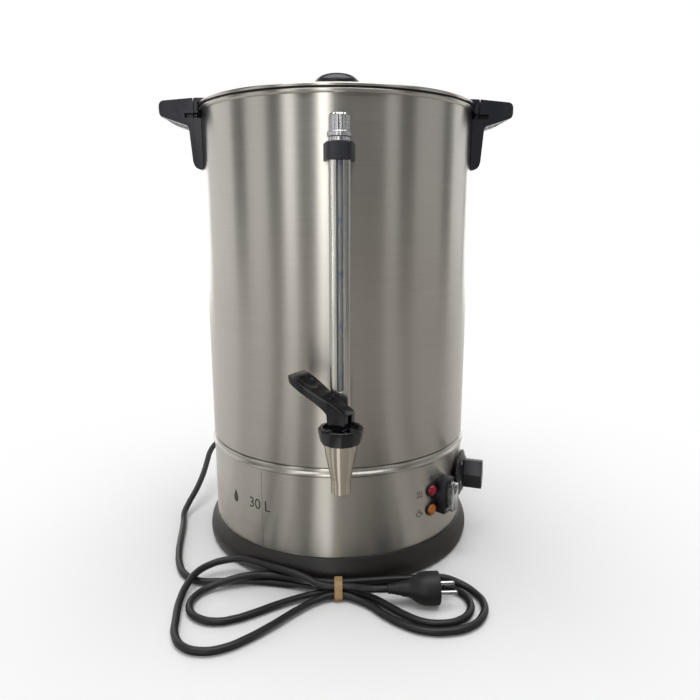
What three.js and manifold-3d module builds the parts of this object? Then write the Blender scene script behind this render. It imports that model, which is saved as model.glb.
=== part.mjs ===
// Catering hot-water urn: an open steel tank on a base shell, with a twist-lock lid, two side handles,
// a sight gauge, a self-closing tap, an electric base and a mains lead.
// Millimetres, +Z up. The origin is on the tank's axis, on the surface that the urn stands on.
// The tap points along -Y. Azimuth 0 is the tap's side and azimuth 90 is +X.

import * as THREE from 'three';
import { mergeVertices } from 'three/addons/utils/BufferGeometryUtils.js';
import Module from 'manifold-3d';

const wasm = await Module();
wasm.setup();

// ---- Driving dimensions ----

const tankRadius = 170; // outside of the tank wall and of the base shell
const sheet = 1; // steel sheet
const gap = 0.3; // left between pieces that touch
const roundSegments = 48; // facets round the large turned pieces
const smallSegments = 24; // facets round the small turned pieces

const seamHeight = 145; // lower edge of the tank's outer wall
const rimHeight = 556.4; // top of the tank's rolled rim
const rimFlare = 2.8; // how far the rolled rim stands proud of the wall

const ringHeight = 33; // top of the black base ring
const ringFlare = 9.6; // how far the base ring stands proud of the shell
const ringLedge = 21; // height of the ledge that the base shell stands on
const coverHeight = 5; // underside of the bottom cover
const coverThickness = 2.5;
const footRadius = 11;
const footCircle = 146; // radius of the circle that the feet are on
const screwCircle = 162.2; // radius of the circle of the cover's screws

const sealThickness = 1.3;
const lidDome = 13; // rise of the lid's middle above its edge
const lidSpigot = 150.5; // outside radius of the lid's locating ring
const notchWidth = 94; // notch in the lid's edge for each catch
const notchDepth = 15; // measured in from the tank's wall
const knobRadius = 29;
const knobHeight = 28.7;

const handleWidth = 90; // handle and catch, along the tank's side
const catchReach = 10.7; // how far a catch reaches in over the lid, from the tank's wall
const catchTop = 11.2; // above the rim
const catchRoom = 5.9; // underside of the catch above the rim
const gripReach = 45; // handle tip, from the tank's wall
const legDrop = 72; // lower end of the handle's leg below the rim
const footWidth = 72; // the catch's foot, between the open ends of the joint
const handleScrewRadius = 2.5;
const handleScrewDrops = [36, 56]; // heights of the two screws below the rim

const gaugeStandoff = 13; // tank wall to the middle of the sight tube
const tubeRadius = 5.5;
const tubeBore = 4;
const guardHalfWidth = 11.2;
const guardFront = 8.7; // guard's front face, from the middle of the tube
const guardCorner = 3.4;
const slotWidth = 7;
const slotStart = 96.5; // lower end of the slot above the seam
const clampDrop = 54.9; // top of the clamp below the rim
const clampHeight = 18;
const capHeight = 22.7;
const capRadius = 12.6;

const tapReach = 48; // tank wall to the tap's upright axis
const tapRise = 35; // tap shank's axis above the seam
const shankRadius = 7.5;
const shankBore = 4.2;
const bonnetRadius = 24.2;
const bonnetHeight = 21.2;
const spoutTip = 10.6; // radius of the spout's lower end
const spoutLength = 52.7;
const leverLength = 54;
const leverSlope = 27.7; // degrees above level
const leverThickness = 8;
const heelRadius = 11;
const heelWidth = 20.7;
const paddleWidth = 32;
const leverAzimuth = -123;

const lampAzimuth = 41.3;
const lampRadius = 8.2;
const heatingLampHeight = 98.2;
const warmLampHeight = 73.3;
const switchAzimuth = 48;
const switchHeight = 88.2;
const switchWidth = 20.5;
const switchTall = 44.5;
const switchDepth = 13;
const rockerTilt = 8; // degrees either side of level
const thermostatAzimuth = 69;
const thermostatHeight = 94.5;
const dialRadius = 30;
const dialGripLength = 38;
const dialGripWidth = 20;
const dialGripEnd = 8; // width of the grip at its two ends
const dialDepth = 32;
const shaftRadius = 3;

const cordRadius = 4.25;
const glandAzimuth = -135;
const glandHeight = 78;
const glandLength = 34;
const plugRadius = 18.5;
const plugLength = 58;
const pinRadius = 2.4;
const pinLength = 19;
const pinSpacing = 19;

// ---- Finishes ----

const finish = (color, roughness, metalness) => ({ color, roughness, metalness });
const brushedSteel = finish(0xa9a59c, 0.34, 1);
const polishedSteel = finish(0xc6c7c8, 0.2, 1);
const castMetal = finish(0xb4ab9a, 0.3, 1);
const aluminium = finish(0xb8bbc0, 0.4, 1);
const blackPlastic = finish(0x24252d, 0.48, 0);
const glossBlack = finish(0x131417, 0.22, 0);
const brownBlack = finish(0x2c2826, 0.55, 0);
const blackRubber = finish(0x18181a, 0.8, 0);
const silicone = finish(0x1a1a1b, 0.6, 0);
const whiteSilicone = finish(0xd8d6cf, 0.6, 0);
const clearPlastic = finish(0xc9d4dc, 0.08, 0);
const redLens = finish(0x8a1526, 0.15, 0);
const amberLens = finish(0xa3590e, 0.15, 0);
const ceramic = finish(0xe2ddd2, 0.5, 0);
const elasticBand = finish(0xb79a6b, 0.7, 0);

// ---- Solids ----

const radians = THREE.MathUtils.degToRad;
const vector = (x, y) => new THREE.Vector2(x, y);

// A closed geometry as a manifold-3d solid, without the triangles that collapse on a lathe's axis.
function solidOf(geometry) {
  const bare = geometry.index ? geometry.toNonIndexed() : geometry.clone();
  bare.deleteAttribute('normal');
  bare.deleteAttribute('uv');
  const merged = mergeVertices(bare, 1e-4);
  const corners = merged.index.array;
  const kept = [];
  for (let i = 0; i < corners.length; i += 3) {
    const [a, b, c] = corners.slice(i, i + 3);
    if (a !== b && b !== c && c !== a) kept.push(a, b, c);
  }
  const vertProperties = merged.attributes.position.array;
  const triVerts = new Uint32Array(kept);
  return new wasm.Manifold(new wasm.Mesh({ numProp: 3, vertProperties, triVerts }));
}

function geometryOf(solid) {
  const mesh = solid.getMesh();
  const geometry = new THREE.BufferGeometry();
  geometry.setAttribute('position', new THREE.BufferAttribute(mesh.vertProperties.slice(), 3));
  geometry.setIndex(new THREE.BufferAttribute(mesh.triVerts.slice(), 1));
  return geometry;
}

function join(...geometries) {
  return geometryOf(geometries.map(solidOf).reduce((whole, next) => whole.add(next)));
}

function cut(geometry, ...tools) {
  return geometryOf(tools.map(solidOf).reduce((left, tool) => left.subtract(tool), solidOf(geometry)));
}

function common(first, second) {
  return geometryOf(solidOf(first).intersect(solidOf(second)));
}

// A closed (radius, height) profile turned about Z. Corners may be given in either direction.
function turned(profile, segments = roundSegments) {
  let area = 0;
  profile.forEach(([r, z], i) => {
    const [nextR, nextZ] = profile[(i + 1) % profile.length];
    area += r * nextZ - nextR * z;
  });
  const points = profile.map(([r, z]) => vector(r, z));
  if (area < 0) points.reverse();
  points.push(points[0].clone());
  return geometryOf(solidOf(new THREE.LatheGeometry(points, segments).rotateX(Math.PI / 2)));
}

// A rod from height low to height high about Z.
function rod(radius, low, high, segments = smallSegments) {
  return turned([[0, low], [radius, low], [radius, high], [0, high]], segments);
}

// A piece turned about Z, laid down so that its +Z points outwards, along -Y.
const facingOut = (geometry) => geometry.rotateX(Math.PI / 2);

function block(widthX, widthY, low, high, x = 0, y = 0) {
  return new THREE.BoxGeometry(widthX, widthY, high - low).translate(x, y, (low + high) / 2);
}

// An outline in plan, raised from height low to height high.
function raised(outline, low, high) {
  const shape = new THREE.Shape(outline.map(([x, y]) => vector(x, y)));
  const depth = high - low;
  return new THREE.ExtrudeGeometry(shape, { depth, bevelEnabled: false }).translate(0, 0, low);
}

// A side view in (distance outwards, height), made as wide as given and centred on X = 0.
function sideCut(outline, width) {
  const shape = new THREE.Shape(outline.map(([out, z]) => vector(out, z)));
  const geometry = new THREE.ExtrudeGeometry(shape, { depth: width, bevelEnabled: false });
  const outwards = new THREE.Vector3(0, -1, 0);
  const upwards = new THREE.Vector3(0, 0, 1);
  const across = new THREE.Vector3(-1, 0, 0);
  geometry.applyMatrix4(new THREE.Matrix4().makeBasis(outwards, upwards, across));
  return geometry.translate(width / 2, 0, 0);
}

// Points on an arc, angles in degrees.
function arc(x, y, radius, from, to, steps) {
  return Array.from({ length: steps + 1 }, (_, i) => {
    const angle = radians(from + ((to - from) * i) / steps);
    return [x + radius * Math.cos(angle), y + radius * Math.sin(angle)];
  });
}

const urn = new THREE.Group();

function add(name, geometry, look, parent = urn) {
  const mesh = new THREE.Mesh(geometry, new THREE.MeshStandardMaterial(look));
  mesh.name = name;
  parent.add(mesh);
  return mesh;
}

// A group in which -Y points outwards at an azimuth.
function facing(azimuth, height = 0) {
  const group = new THREE.Group();
  group.rotation.z = radians(azimuth);
  group.position.z = height;
  urn.add(group);
  return group;
}

// The tank's outside as a cutter for what seats on it.
const tankSurface = (low, high) => rod(tankRadius + gap, low, high, 2 * roundSegments);

// A round hole through a wall at an azimuth and a height, from radius 'from' outwards.
function wallHole(radius, azimuth, height, from, to) {
  return facingOut(rod(radius, from, to)).translate(0, 0, height).rotateZ(radians(azimuth));
}

// ---- Heights and radii that follow ----

const tankBore = tankRadius - sheet;
const shellSides = [tankBore - 4, tankRadius + 6]; // radii between which wall holes are cut
const tapHeight = seamHeight + tapRise;
const floorTop = seamHeight - 3;
const spigotWall = tankBore - 2.5; // inside of the tank's lower edge, within the base shell
const handleScrewHeights = handleScrewDrops.map((drop) => rimHeight - drop);
const gaugeRadius = tankRadius + gaugeStandoff;
const tapRadius = tankRadius + tapReach;

// ---- Tank ----

const beadHeight = seamHeight - 8.5; // middle of the base shell's rolled bead

const tankProfile = [
  [spigotWall, seamHeight - 12],
  [spigotWall + sheet, seamHeight - 12],
  [spigotWall + sheet, seamHeight],
  [tankRadius, seamHeight + 1],
  [tankRadius, rimHeight - 5],
  [tankRadius + rimFlare - 0.4, rimHeight - 4],
  [tankRadius + rimFlare, rimHeight - 2],
  [tankRadius + rimFlare - 0.8, rimHeight - 0.4],
  [tankRadius, rimHeight],
  [tankBore, rimHeight - 0.8],
  [tankBore, seamHeight + 2],
  [spigotWall, seamHeight + 0.3],
];
const handleHoles = [-90, 90].flatMap((azimuth) => handleScrewHeights.map(
  (height) => wallHole(handleScrewRadius + gap, azimuth, height, ...shellSides)));
const shankHole = wallHole(shankRadius + gap, 0, tapHeight, ...shellSides);
add('tank_shell', cut(turned(tankProfile), shankHole, ...handleHoles), brushedSteel);

const floorEdge = spigotWall - gap;
const floorProfile = [
  [0, floorTop - 1.2],
  [floorEdge - 1.2, floorTop - 1.2],
  [floorEdge - 1.2, floorTop - 8],
  [floorEdge, floorTop - 8],
  [floorEdge, floorTop],
  [0, floorTop],
];
add('tank_floor', turned(floorProfile), brushedSteel);

// ---- Base shell, ring and bottom cover ----

const baseProfile = [
  [tankBore, ringLedge + gap],
  [tankRadius, ringLedge + gap],
  [tankRadius, beadHeight - 2.8],
  [tankRadius + 1.3, beadHeight - 1.2],
  [tankRadius + 1.3, beadHeight + 1.2],
  [tankRadius, beadHeight + 2.8],
  [tankRadius, seamHeight - 1.4],
  [tankRadius - 0.6, seamHeight - 0.6],
  [tankBore, seamHeight - 1],
];
const switchThroat = block(13, 20, switchHeight - 16, switchHeight + 16, 0, -tankRadius);
const baseHoles = [
  wallHole(5.6, thermostatAzimuth, thermostatHeight, ...shellSides),
  wallHole(5.6, lampAzimuth, heatingLampHeight, ...shellSides),
  wallHole(5.6, lampAzimuth, warmLampHeight, ...shellSides),
  wallHole(7.9, glandAzimuth, glandHeight, ...shellSides),
  switchThroat.rotateZ(radians(switchAzimuth)),
];
add('base_shell', cut(turned(baseProfile), ...baseHoles), brushedSteel);

const ringOuter = tankRadius + ringFlare;
const ledgeInner = tankRadius - 12;
const ringProfile = [
  [tankRadius + gap, ringHeight + 0.4],
  [tankRadius + 2.4, ringHeight],
  [ringOuter - 4, ringHeight - 7],
  [ringOuter - 1, ringHeight - 14.5],
  [ringOuter, ringHeight - 21],
  [ringOuter - 0.8, ringHeight - 28],
  [ringOuter - 2.6, 1.5],
  [ringOuter - 6.1, 1.5],
  [ringOuter - 4, ringHeight - 21],
  [ringOuter - 5.6, ringLedge - 3.5],
  [ledgeInner, ringLedge - 3.5],
  [ledgeInner, ringLedge],
  [tankRadius + gap, ringLedge],
];
const screwAzimuths = [30, 150, 270];
const coverScrewRadius = 1.6;
const screwHoles = () => screwAzimuths.map((azimuth) => rod(coverScrewRadius + gap, 0, ringLedge + 5, 12)
  .translate(0, -screwCircle, 0).rotateZ(radians(azimuth)));
add('base_ring', cut(turned(ringProfile), ...screwHoles()), brownBlack);

const coverEdge = ringOuter - 7;
const coverProfile = [
  [0, 0],
  [20, 0],
  [24, coverHeight],
  [coverEdge, coverHeight],
  [coverEdge, coverHeight + coverThickness],
  [screwCircle + 4, coverHeight + coverThickness],
  [screwCircle + 4, ringLedge - 3.5 - gap],
  [ledgeInner + 0.6, ringLedge - 3.5 - gap],
  [ledgeInner + 0.6, coverHeight + coverThickness],
  [23, coverHeight + coverThickness],
  [19, coverThickness],
  [0, coverThickness],
];
add('bottom_cover', cut(turned(coverProfile), ...screwHoles()), blackPlastic);

[45, 135, 225, 315].forEach((azimuth, i) => {
  const profile = [[0, 0], [footRadius - 1.5, 0], [footRadius, coverHeight - gap], [0, coverHeight - gap]];
  const foot = add('foot_' + (i + 1), turned(profile, smallSegments), blackRubber, facing(azimuth));
  foot.position.y = -footCircle;
});

screwAzimuths.forEach((azimuth, i) => {
  const head = rod(3.5, coverHeight - gap - 2.2, coverHeight - gap, 12);
  const shank = rod(coverScrewRadius, coverHeight - gap - 1, ringLedge - 1, 12);
  const screw = add('cover_screw_' + (i + 1), join(head, shank), polishedSteel, facing(azimuth));
  screw.position.y = -screwCircle;
});

// ---- Lid, seal and knob ----

const sealBottom = rimHeight + gap;
const lidUnder = sealBottom + sealThickness + gap;
const lidTop = lidUnder + 3.2;
const spigotInner = lidSpigot - sheet;
const notches = (low, high) => [-90, 90].map((azimuth) => {
  const inner = tankRadius - notchDepth;
  const ring = turned([[inner, low], [tankRadius + 20, low], [tankRadius + 20, high], [inner, high]]);
  return common(ring, block(notchWidth, tankRadius + 20, low, high, 0, -tankRadius / 2 - 10))
    .rotateZ(radians(azimuth));
});

const sealInner = lidSpigot + 0.8;
const sealProfile = [
  [sealInner, sealBottom],
  [tankRadius + 1.6, sealBottom],
  [tankRadius + 1.6, sealBottom + sealThickness],
  [sealInner, sealBottom + sealThickness],
];
add('lid_seal', cut(turned(sealProfile), ...notches(sealBottom - 5, lidTop)), silicone);

const lidMiddle = lidTop + lidDome;
const lidScrewHole = 2.8;
const lidProfile = [
  [lidScrewHole, lidMiddle],
  [40, lidMiddle - 0.9],
  [90, lidMiddle - 5],
  [130, lidMiddle - 10.6],
  [lidSpigot + 1.5, lidTop],
  [tankRadius + 0.5, lidTop],
  [tankRadius + 2.8, lidTop - 0.9],
  [tankRadius + 3.2, lidTop - 2.2],
  [tankRadius + 2.6, lidUnder - 0.5],
  [tankRadius + 2.2, lidUnder],
  [tankRadius - 3, lidUnder],
  [tankRadius - 4, lidTop - sheet],
  [lidSpigot, lidTop - sheet],
  [lidSpigot, lidUnder - 10],
  [spigotInner, lidUnder - 10],
  [spigotInner, lidTop - sheet],
  [130, lidMiddle - 11.6],
  [90, lidMiddle - 6],
  [40, lidMiddle - 1.9],
  [lidScrewHole, lidMiddle - sheet],
];
add('lid', cut(turned(lidProfile), ...notches(lidUnder - 5, lidTop + 5)), brushedSteel);

const knobBase = lidMiddle + 0.5;
const knobTop = knobBase + knobHeight;
const knobProfile = [
  [lidScrewHole, knobBase],
  [14, knobBase],
  [12.5, knobBase + 4],
  [18, knobBase + 8],
  [knobRadius - 1.4, knobBase + 11.5],
  [knobRadius, knobBase + 15],
  [knobRadius - 0.7, knobBase + 19],
  [knobRadius - 3.8, knobBase + 22.6],
  [knobRadius - 8.4, knobTop - 2.8],
  [knobRadius / 2, knobTop - 0.9],
  [0, knobTop],
  [0, knobBase + 15],
  [lidScrewHole, knobBase + 15],
];
add('lid_knob', turned(knobProfile, smallSegments), blackPlastic);

const knobScrewProfile = [
  [0, lidMiddle - 5],
  [5, lidMiddle - 4.5],
  [5, lidMiddle - 1.5],
  [2.5, lidMiddle - 1.5],
  [2.5, knobBase + 14.5],
  [0, knobBase + 14.5],
];
add('lid_knob_screw', turned(knobScrewProfile, 16), polishedSteel);

// ---- Handles and lid catches ----

const seamRadius = tankRadius + 9.3; // upright joint between catch and grip, concentric with the tank
const catchInner = tankRadius + rimFlare + 1.1;
const shoulder = rimHeight - 12.2; // where the catch's foot stands on the handle
const jointTop = rimHeight - 6.4; // top of the open slot at each end of the joint
const jointEnd = tankRadius + 14;
const gripTip = tankRadius + gripReach;
const gripTop = rimHeight + catchTop - 0.4;
const legBottom = rimHeight - legDrop;
const handleProfile = [
  [tankRadius - 20, gripTop],
  [seamRadius - 4, gripTop],
  [gripTip - 6, gripTop - 3.2],
  [gripTip - 1.3, gripTop - 5.8],
  [gripTip, gripTop - 9.5],
  [gripTip - 0.3, gripTop - 17],
  [gripTip - 3, gripTop - 21.5],
  [tankRadius + 12, gripTop - 31.4],
  [tankRadius + 9.4, gripTop - 35],
  [tankRadius + 6, legBottom + 7.5],
  [tankRadius + 3.5, legBottom + 2],
  [tankRadius - 1, legBottom],
  [tankRadius - 20, legBottom],
];
const handlePlan = [
  [-handleWidth / 2, -tankRadius + 20],
  [-handleWidth / 2, -gripTip + 5],
  [-handleWidth / 2 + 4, -gripTip - 1],
  [handleWidth / 2 - 4, -gripTip - 1],
  [handleWidth / 2, -gripTip + 5],
  [handleWidth / 2, -tankRadius + 20],
];
// Four finger slots across the underside of the grip.
const fingerSlots = [17, 24, 31, 38].map((out) => block(44, 4, gripTop - 45, gripTop - 9, 0, -tankRadius - out));
const seat = raised(arc(0, 0, seamRadius, 0, 360, 2 * roundSegments).slice(0, -1), shoulder, gripTop + 10);
const jointSlot = block(handleWidth + 10, jointEnd, shoulder, jointTop, 0, -jointEnd / 2);
const jointKeep = block(footWidth + 2 * gap, jointEnd + 2, shoulder - 1, jointTop + 1, 0, -jointEnd / 2);
const catchProfile = [
  [tankRadius - catchReach, rimHeight + catchRoom],
  [catchInner, rimHeight + catchRoom],
  [catchInner, shoulder + gap],
  [seamRadius - gap - 0.2, shoulder + gap],
  [seamRadius - gap - 0.2, rimHeight + catchTop],
  [tankRadius - catchReach + 2, rimHeight + catchTop],
  [tankRadius - catchReach, rimHeight + catchTop - 2],
];

[['left', -90], ['right', 90]].forEach(([side, azimuth]) => {
  const group = facing(azimuth);
  const whole = common(sideCut(handleProfile, handleWidth), raised(handlePlan, 0, gripTop + 10));
  const holes = handleScrewHeights.map(
    (height) => facingOut(rod(handleScrewRadius + gap, 0, tankRadius + 5.2)).translate(0, 0, height));
  const wall = tankSurface(0, rimHeight + 60);
  const grip = cut(whole, wall, seat, cut(jointSlot, jointKeep), ...fingerSlots, ...holes);
  add('handle_' + side, grip, blackPlastic, group);
  const slab = block(handleWidth, tankRadius + 40, 0, gripTop + 10, 0, -tankRadius / 2 - 20);
  const ends = cut(block(handleWidth + 10, tankRadius + 40, 0, jointTop, 0, -tankRadius / 2 - 20),
    block(footWidth, tankRadius + 50, -1, jointTop + 1, 0, -tankRadius / 2 - 20));
  add('lid_catch_' + side, cut(common(turned(catchProfile), slab), ends), blackPlastic, group);
  handleScrewHeights.forEach((height, i) => {
    const head = rod(5, tankBore - 4, tankBore - 1.2, 16);
    const shank = rod(handleScrewRadius, tankBore - 2, tankRadius + 4.8, 16);
    const screw = add('handle_screw_' + side + '_' + (i + 1), join(head, shank), polishedSteel, group);
    screw.geometry.rotateX(Math.PI / 2);
    screw.position.z = height;
  });
});

// ---- Sight gauge: its own group, centred on the tube ----

const gauge = new THREE.Group();
gauge.position.y = -gaugeRadius;
urn.add(gauge);

const bossTop = tapHeight + 32;
const clampTop = rimHeight - clampDrop;
const clampLow = clampTop - clampHeight;
const guardLow = bossTop + 1;
const guardHigh = clampTop - 4;
const guardBack = gaugeStandoff - 2;

// The guard's plan outline, grown by an amount: straight sides and rounded front corners.
function guardOutline(grow) {
  const half = guardHalfWidth + grow;
  const front = -guardFront - grow;
  const corner = guardCorner + grow;
  return [
    [-half, guardBack],
    ...arc(-half + corner, front + corner, corner, 180, 270, 4),
    ...arc(half - corner, front + corner, corner, 270, 360, 4),
    [half, guardBack],
  ];
}

const guardWhole = raised(guardOutline(0), guardLow, guardHigh);
const guardInside = raised(
  [[-guardHalfWidth + sheet, guardBack + 5], ...guardOutline(-sheet), [guardHalfWidth - sheet, guardBack + 5]],
  guardLow - 1, guardHigh + 1);
const slotLow = seamHeight + slotStart;
const slotSquare = block(slotWidth, 8, slotLow + slotWidth / 2, clampLow + 8, 0, -guardFront);
const slotEnd = facingOut(rod(slotWidth / 2, 5, 15)).translate(0, 0, slotLow + slotWidth / 2);
add('gauge_guard', cut(guardWhole, guardInside, join(slotSquare, slotEnd)), brushedSteel, gauge);

const tubeLow = bossTop - 11.7;
const tubeHigh = clampTop + 13;
const tubeProfile = [[tubeBore, tubeLow], [tubeRadius, tubeLow], [tubeRadius, tubeHigh], [tubeBore, tubeHigh]];
add('gauge_tube', turned(tubeProfile, smallSegments), clearPlastic, gauge);

const clampOutline = [
  [-17, gaugeStandoff + 4],
  [-13.6, -7.5],
  [-10.5, -11],
  [10.5, -11],
  [13.6, -7.5],
  [17, gaugeStandoff + 4],
];
const clampWell = raised(
  [[-guardHalfWidth - gap, guardBack + 1], ...guardOutline(gap), [guardHalfWidth + gap, guardBack + 1]],
  clampLow - 1, guardHigh + gap);
const clampBack = tankSurface(clampLow - 1, clampTop + 1).translate(0, gaugeRadius, 0);
const tubeWay = rod(tubeRadius + 0.4, clampLow - 1, clampTop + 1);
add('gauge_clamp', cut(raised(clampOutline, clampLow, clampTop), clampWell, clampBack, tubeWay),
  blackPlastic, gauge);

const collarTop = clampTop + 4.6;
const collarProfile = [
  [tubeRadius + gap, clampTop + gap],
  [capRadius - 1.2, clampTop + gap],
  [capRadius - 1.2, collarTop],
  [tubeRadius + gap, collarTop],
];
add('gauge_collar', turned(collarProfile, smallSegments), polishedSteel, gauge);

const capBottom = collarTop + gap;
const capProfile = [
  [tubeRadius + 0.4, capBottom],
  [capRadius, capBottom],
  [capRadius, capBottom + 5],
  [capRadius - 1.2, capBottom + 5.4],
  [capRadius - 1.5, capBottom + capHeight - 1.8],
  [capRadius - 3.4, capBottom + capHeight],
  [0, capBottom + capHeight],
  [0, tubeHigh + 2],
  [tubeRadius + 0.4, tubeHigh + 2],
];
add('gauge_cap', turned(capProfile, smallSegments), polishedSteel, gauge);

const boreSeat = 8.3; // radius of the socket that holds the tube's lower end
const gaugeSealProfile = [
  [tubeRadius + gap, tubeLow],
  [boreSeat - gap, tubeLow],
  [boreSeat - gap, bossTop + 0.5],
  [tubeRadius + gap, bossTop + 0.5],
];
add('gauge_seal', turned(gaugeSealProfile, smallSegments), whiteSilicone, gauge);

// ---- Tap shank, nut and washer ----

const shankInner = tankRadius - 20;
const shankOuter = tapRadius - 12.5;
const shankTube = facingOut(rod(shankRadius, shankInner, shankOuter)).translate(0, 0, tapHeight);
const shankFlange = facingOut(rod(14, tankRadius + gap, tankRadius + 4, 6)).translate(0, 0, tapHeight);
const boss = rod(boreSeat + 1.3, tapHeight, bossTop).translate(0, -gaugeRadius, 0);
const shankWay = facingOut(rod(shankBore, shankInner - 1, shankOuter + 1)).translate(0, 0, tapHeight);
const bossWay = rod(tubeBore, tapHeight, bossTop).translate(0, -gaugeRadius, 0);
const bossSeat = rod(boreSeat, tubeLow - gap, bossTop + 1).translate(0, -gaugeRadius, 0);
add('tap_shank', cut(join(shankTube, shankFlange, boss), shankWay, bossWay, bossSeat), castMetal);

const nutProfile = (radius, low, high) => [
  [shankRadius + gap, low],
  [radius, low],
  [radius, high],
  [shankRadius + gap, high],
];
const hexNut = cut(rod(13, tankBore - 10.5, tankBore - 3.2, 6), rod(shankRadius + gap, 0, tankRadius));
add('tap_nut', facingOut(hexNut), polishedSteel).position.z = tapHeight;
const washer = turned(nutProfile(13, tankBore - 2.9, tankBore - 1.3), smallSegments);
add('tap_washer', facingOut(washer), whiteSilicone).position.z = tapHeight;

// ---- Tap: its own group, centred on its upright axis ----

const tap = new THREE.Group();
tap.position.set(0, -tapRadius, 0);
urn.add(tap);

const bonnetLow = tapHeight + 10;
const bonnetHigh = bonnetLow + bonnetHeight;
const bonnetRecess = bonnetHigh - 4.7;
const bonnetRoof = bonnetHigh - 8.9;
const neckRadius = 17;
const spoutLow = bonnetLow - spoutLength;
const seatHeight = tapHeight - 6;
const spoutProfile = [
  [neckRadius + 0.8, bonnetLow - gap],
  [spoutTip + 0.4, bonnetLow - 36],
  [spoutTip, spoutLow],
  [spoutTip - 2, spoutLow],
  [spoutTip - 2, seatHeight],
  [11.8, seatHeight],
  [13.2, seatHeight + 4],
  [14.6, bonnetLow],
  [14.6, bonnetRoof - gap],
  [neckRadius, bonnetRoof - gap],
  [neckRadius, bonnetLow - gap],
];
const spoutSocket = facingOut(rod(shankRadius + gap, -26, -12)).translate(0, 0, tapHeight);
add('tap_spout', cut(turned(spoutProfile, smallSegments), spoutSocket), castMetal, tap);

const bonnetOutside = [
  [0, bonnetLow],
  [bonnetRadius - 3.9, bonnetLow],
  [bonnetRadius - 0.2, bonnetLow + 16],
  [bonnetRadius, bonnetLow + 19],
  [bonnetRadius - 1.4, bonnetHigh],
  [0, bonnetHigh],
];
const stemWay = 4.5;
const bonnetInside = rod(neckRadius + gap, bonnetLow - 1, bonnetRoof);
const bonnetDish = turned([
  [0, bonnetRecess],
  [bonnetRadius - 5.4, bonnetRecess],
  [bonnetRadius - 4.7, bonnetHigh + 1],
  [0, bonnetHigh + 1],
], smallSegments);
const bonnetHole = rod(stemWay, bonnetRoof - 1, bonnetRecess + 1);
add('tap_bonnet', cut(turned(bonnetOutside, 12), bonnetInside, bonnetDish, bonnetHole), glossBlack, tap);

const stemRadius = 3;
const cupTop = tapHeight + 7;
const cupProfile = [
  [0, seatHeight + gap],
  [10.8, seatHeight + gap],
  [11.3, seatHeight + 1.5],
  [11, seatHeight + 4],
  [6.5, seatHeight + 7],
  [6.5, cupTop],
  [stemRadius + gap, cupTop],
  [stemRadius + gap, seatHeight + 5],
  [0, seatHeight + 5],
];
add('tap_seat_cup', turned(cupProfile, smallSegments), whiteSilicone, tap);

// The closing spring presses the cup onto its seat.
const springRadius = 8.6;
const springWire = 0.7;
const springLow = seatHeight + 8.6;
const springHigh = bonnetRoof - 1;
const springTurns = 4;
const stepsPerTurn = 12;
const springPoints = Array.from({ length: springTurns * stepsPerTurn + 1 }, (_, i) => {
  const angle = (i / stepsPerTurn) * 2 * Math.PI;
  const height = springLow + ((springHigh - springLow) * i) / (springTurns * stepsPerTurn);
  return new THREE.Vector3(springRadius * Math.cos(angle), springRadius * Math.sin(angle), height);
});
const roundSection = (radius, sides) => new THREE.Shape(
  arc(0, 0, radius, 0, 360 - 360 / sides, sides - 1).map(([x, y]) => vector(x, y)));
add('tap_spring', new THREE.ExtrudeGeometry(roundSection(springWire, 6), {
  steps: springTurns * stepsPerTurn,
  extrudePath: new THREE.CatmullRomCurve3(springPoints),
}), polishedSteel, tap);

const pinHeight = bonnetHigh + 7.3;
const leverPinRadius = 1.5;
const tongueWidth = 7;
const leverPinHole = () => rod(leverPinRadius + 0.15, -20, 20).rotateY(Math.PI / 2).translate(0, 0, pinHeight);
const lever = new THREE.Group();
lever.rotation.z = radians(leverAzimuth);
tap.add(lever);

const stemRod = rod(stemRadius, seatHeight + 5.4, pinHeight - 4);
const tongue = block(tongueWidth, 9, bonnetRecess + 1, pinHeight + 5);
add('tap_stem', cut(join(stemRod, tongue), leverPinHole()), polishedSteel, lever);
const pinSolid = rod(leverPinRadius, -heelWidth / 2 + 1, heelWidth / 2 - 1).rotateY(Math.PI / 2);
add('tap_lever_pin', pinSolid, polishedSteel, lever).position.z = pinHeight;

// The lever's side view: a round heel about the pin, and an arm that rises to the paddle.
const rise = Math.tan(radians(leverSlope));
const heelTop = pinHeight + 9.5;
const armTop = (out) => heelTop + (out + heelRadius) * rise;
const leverSide = [
  ...arc(0, pinHeight, heelRadius, 180, 350, 10),
  [heelRadius + 0.5, pinHeight + 9],
  [leverLength - 4, armTop(leverLength - 4) - leverThickness - 1],
  [leverLength, armTop(leverLength) - leverThickness + 1],
  [leverLength - 1, armTop(leverLength - 1)],
  [-heelRadius, heelTop],
];
const leverPlan = [
  [-heelWidth / 2, heelRadius + 1],
  [-heelWidth / 2, -heelRadius],
  [-paddleWidth / 2, -leverLength + 14],
  [-paddleWidth / 2, -leverLength - 1],
  [paddleWidth / 2, -leverLength - 1],
  [paddleWidth / 2, -leverLength + 14],
  [heelWidth / 2, -heelRadius],
  [heelWidth / 2, heelRadius + 1],
];
const leverWhole = common(sideCut(leverSide, 60), raised(leverPlan, 0, rimHeight));
const tongueSlot = block(tongueWidth + 0.8, heelRadius + 9.2, bonnetRecess, pinHeight + 7.2, 0, 1.8);
add('tap_lever', cut(leverWhole, tongueSlot, leverPinHole()), glossBlack, lever);

// ---- Heating, under the tank floor ----

const spreaderTop = floorTop - 1.2 - gap;
const spreaderLow = spreaderTop - 3.7;
add('heat_spreader', rod(120, spreaderLow, spreaderTop, roundSegments), aluminium);

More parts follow.
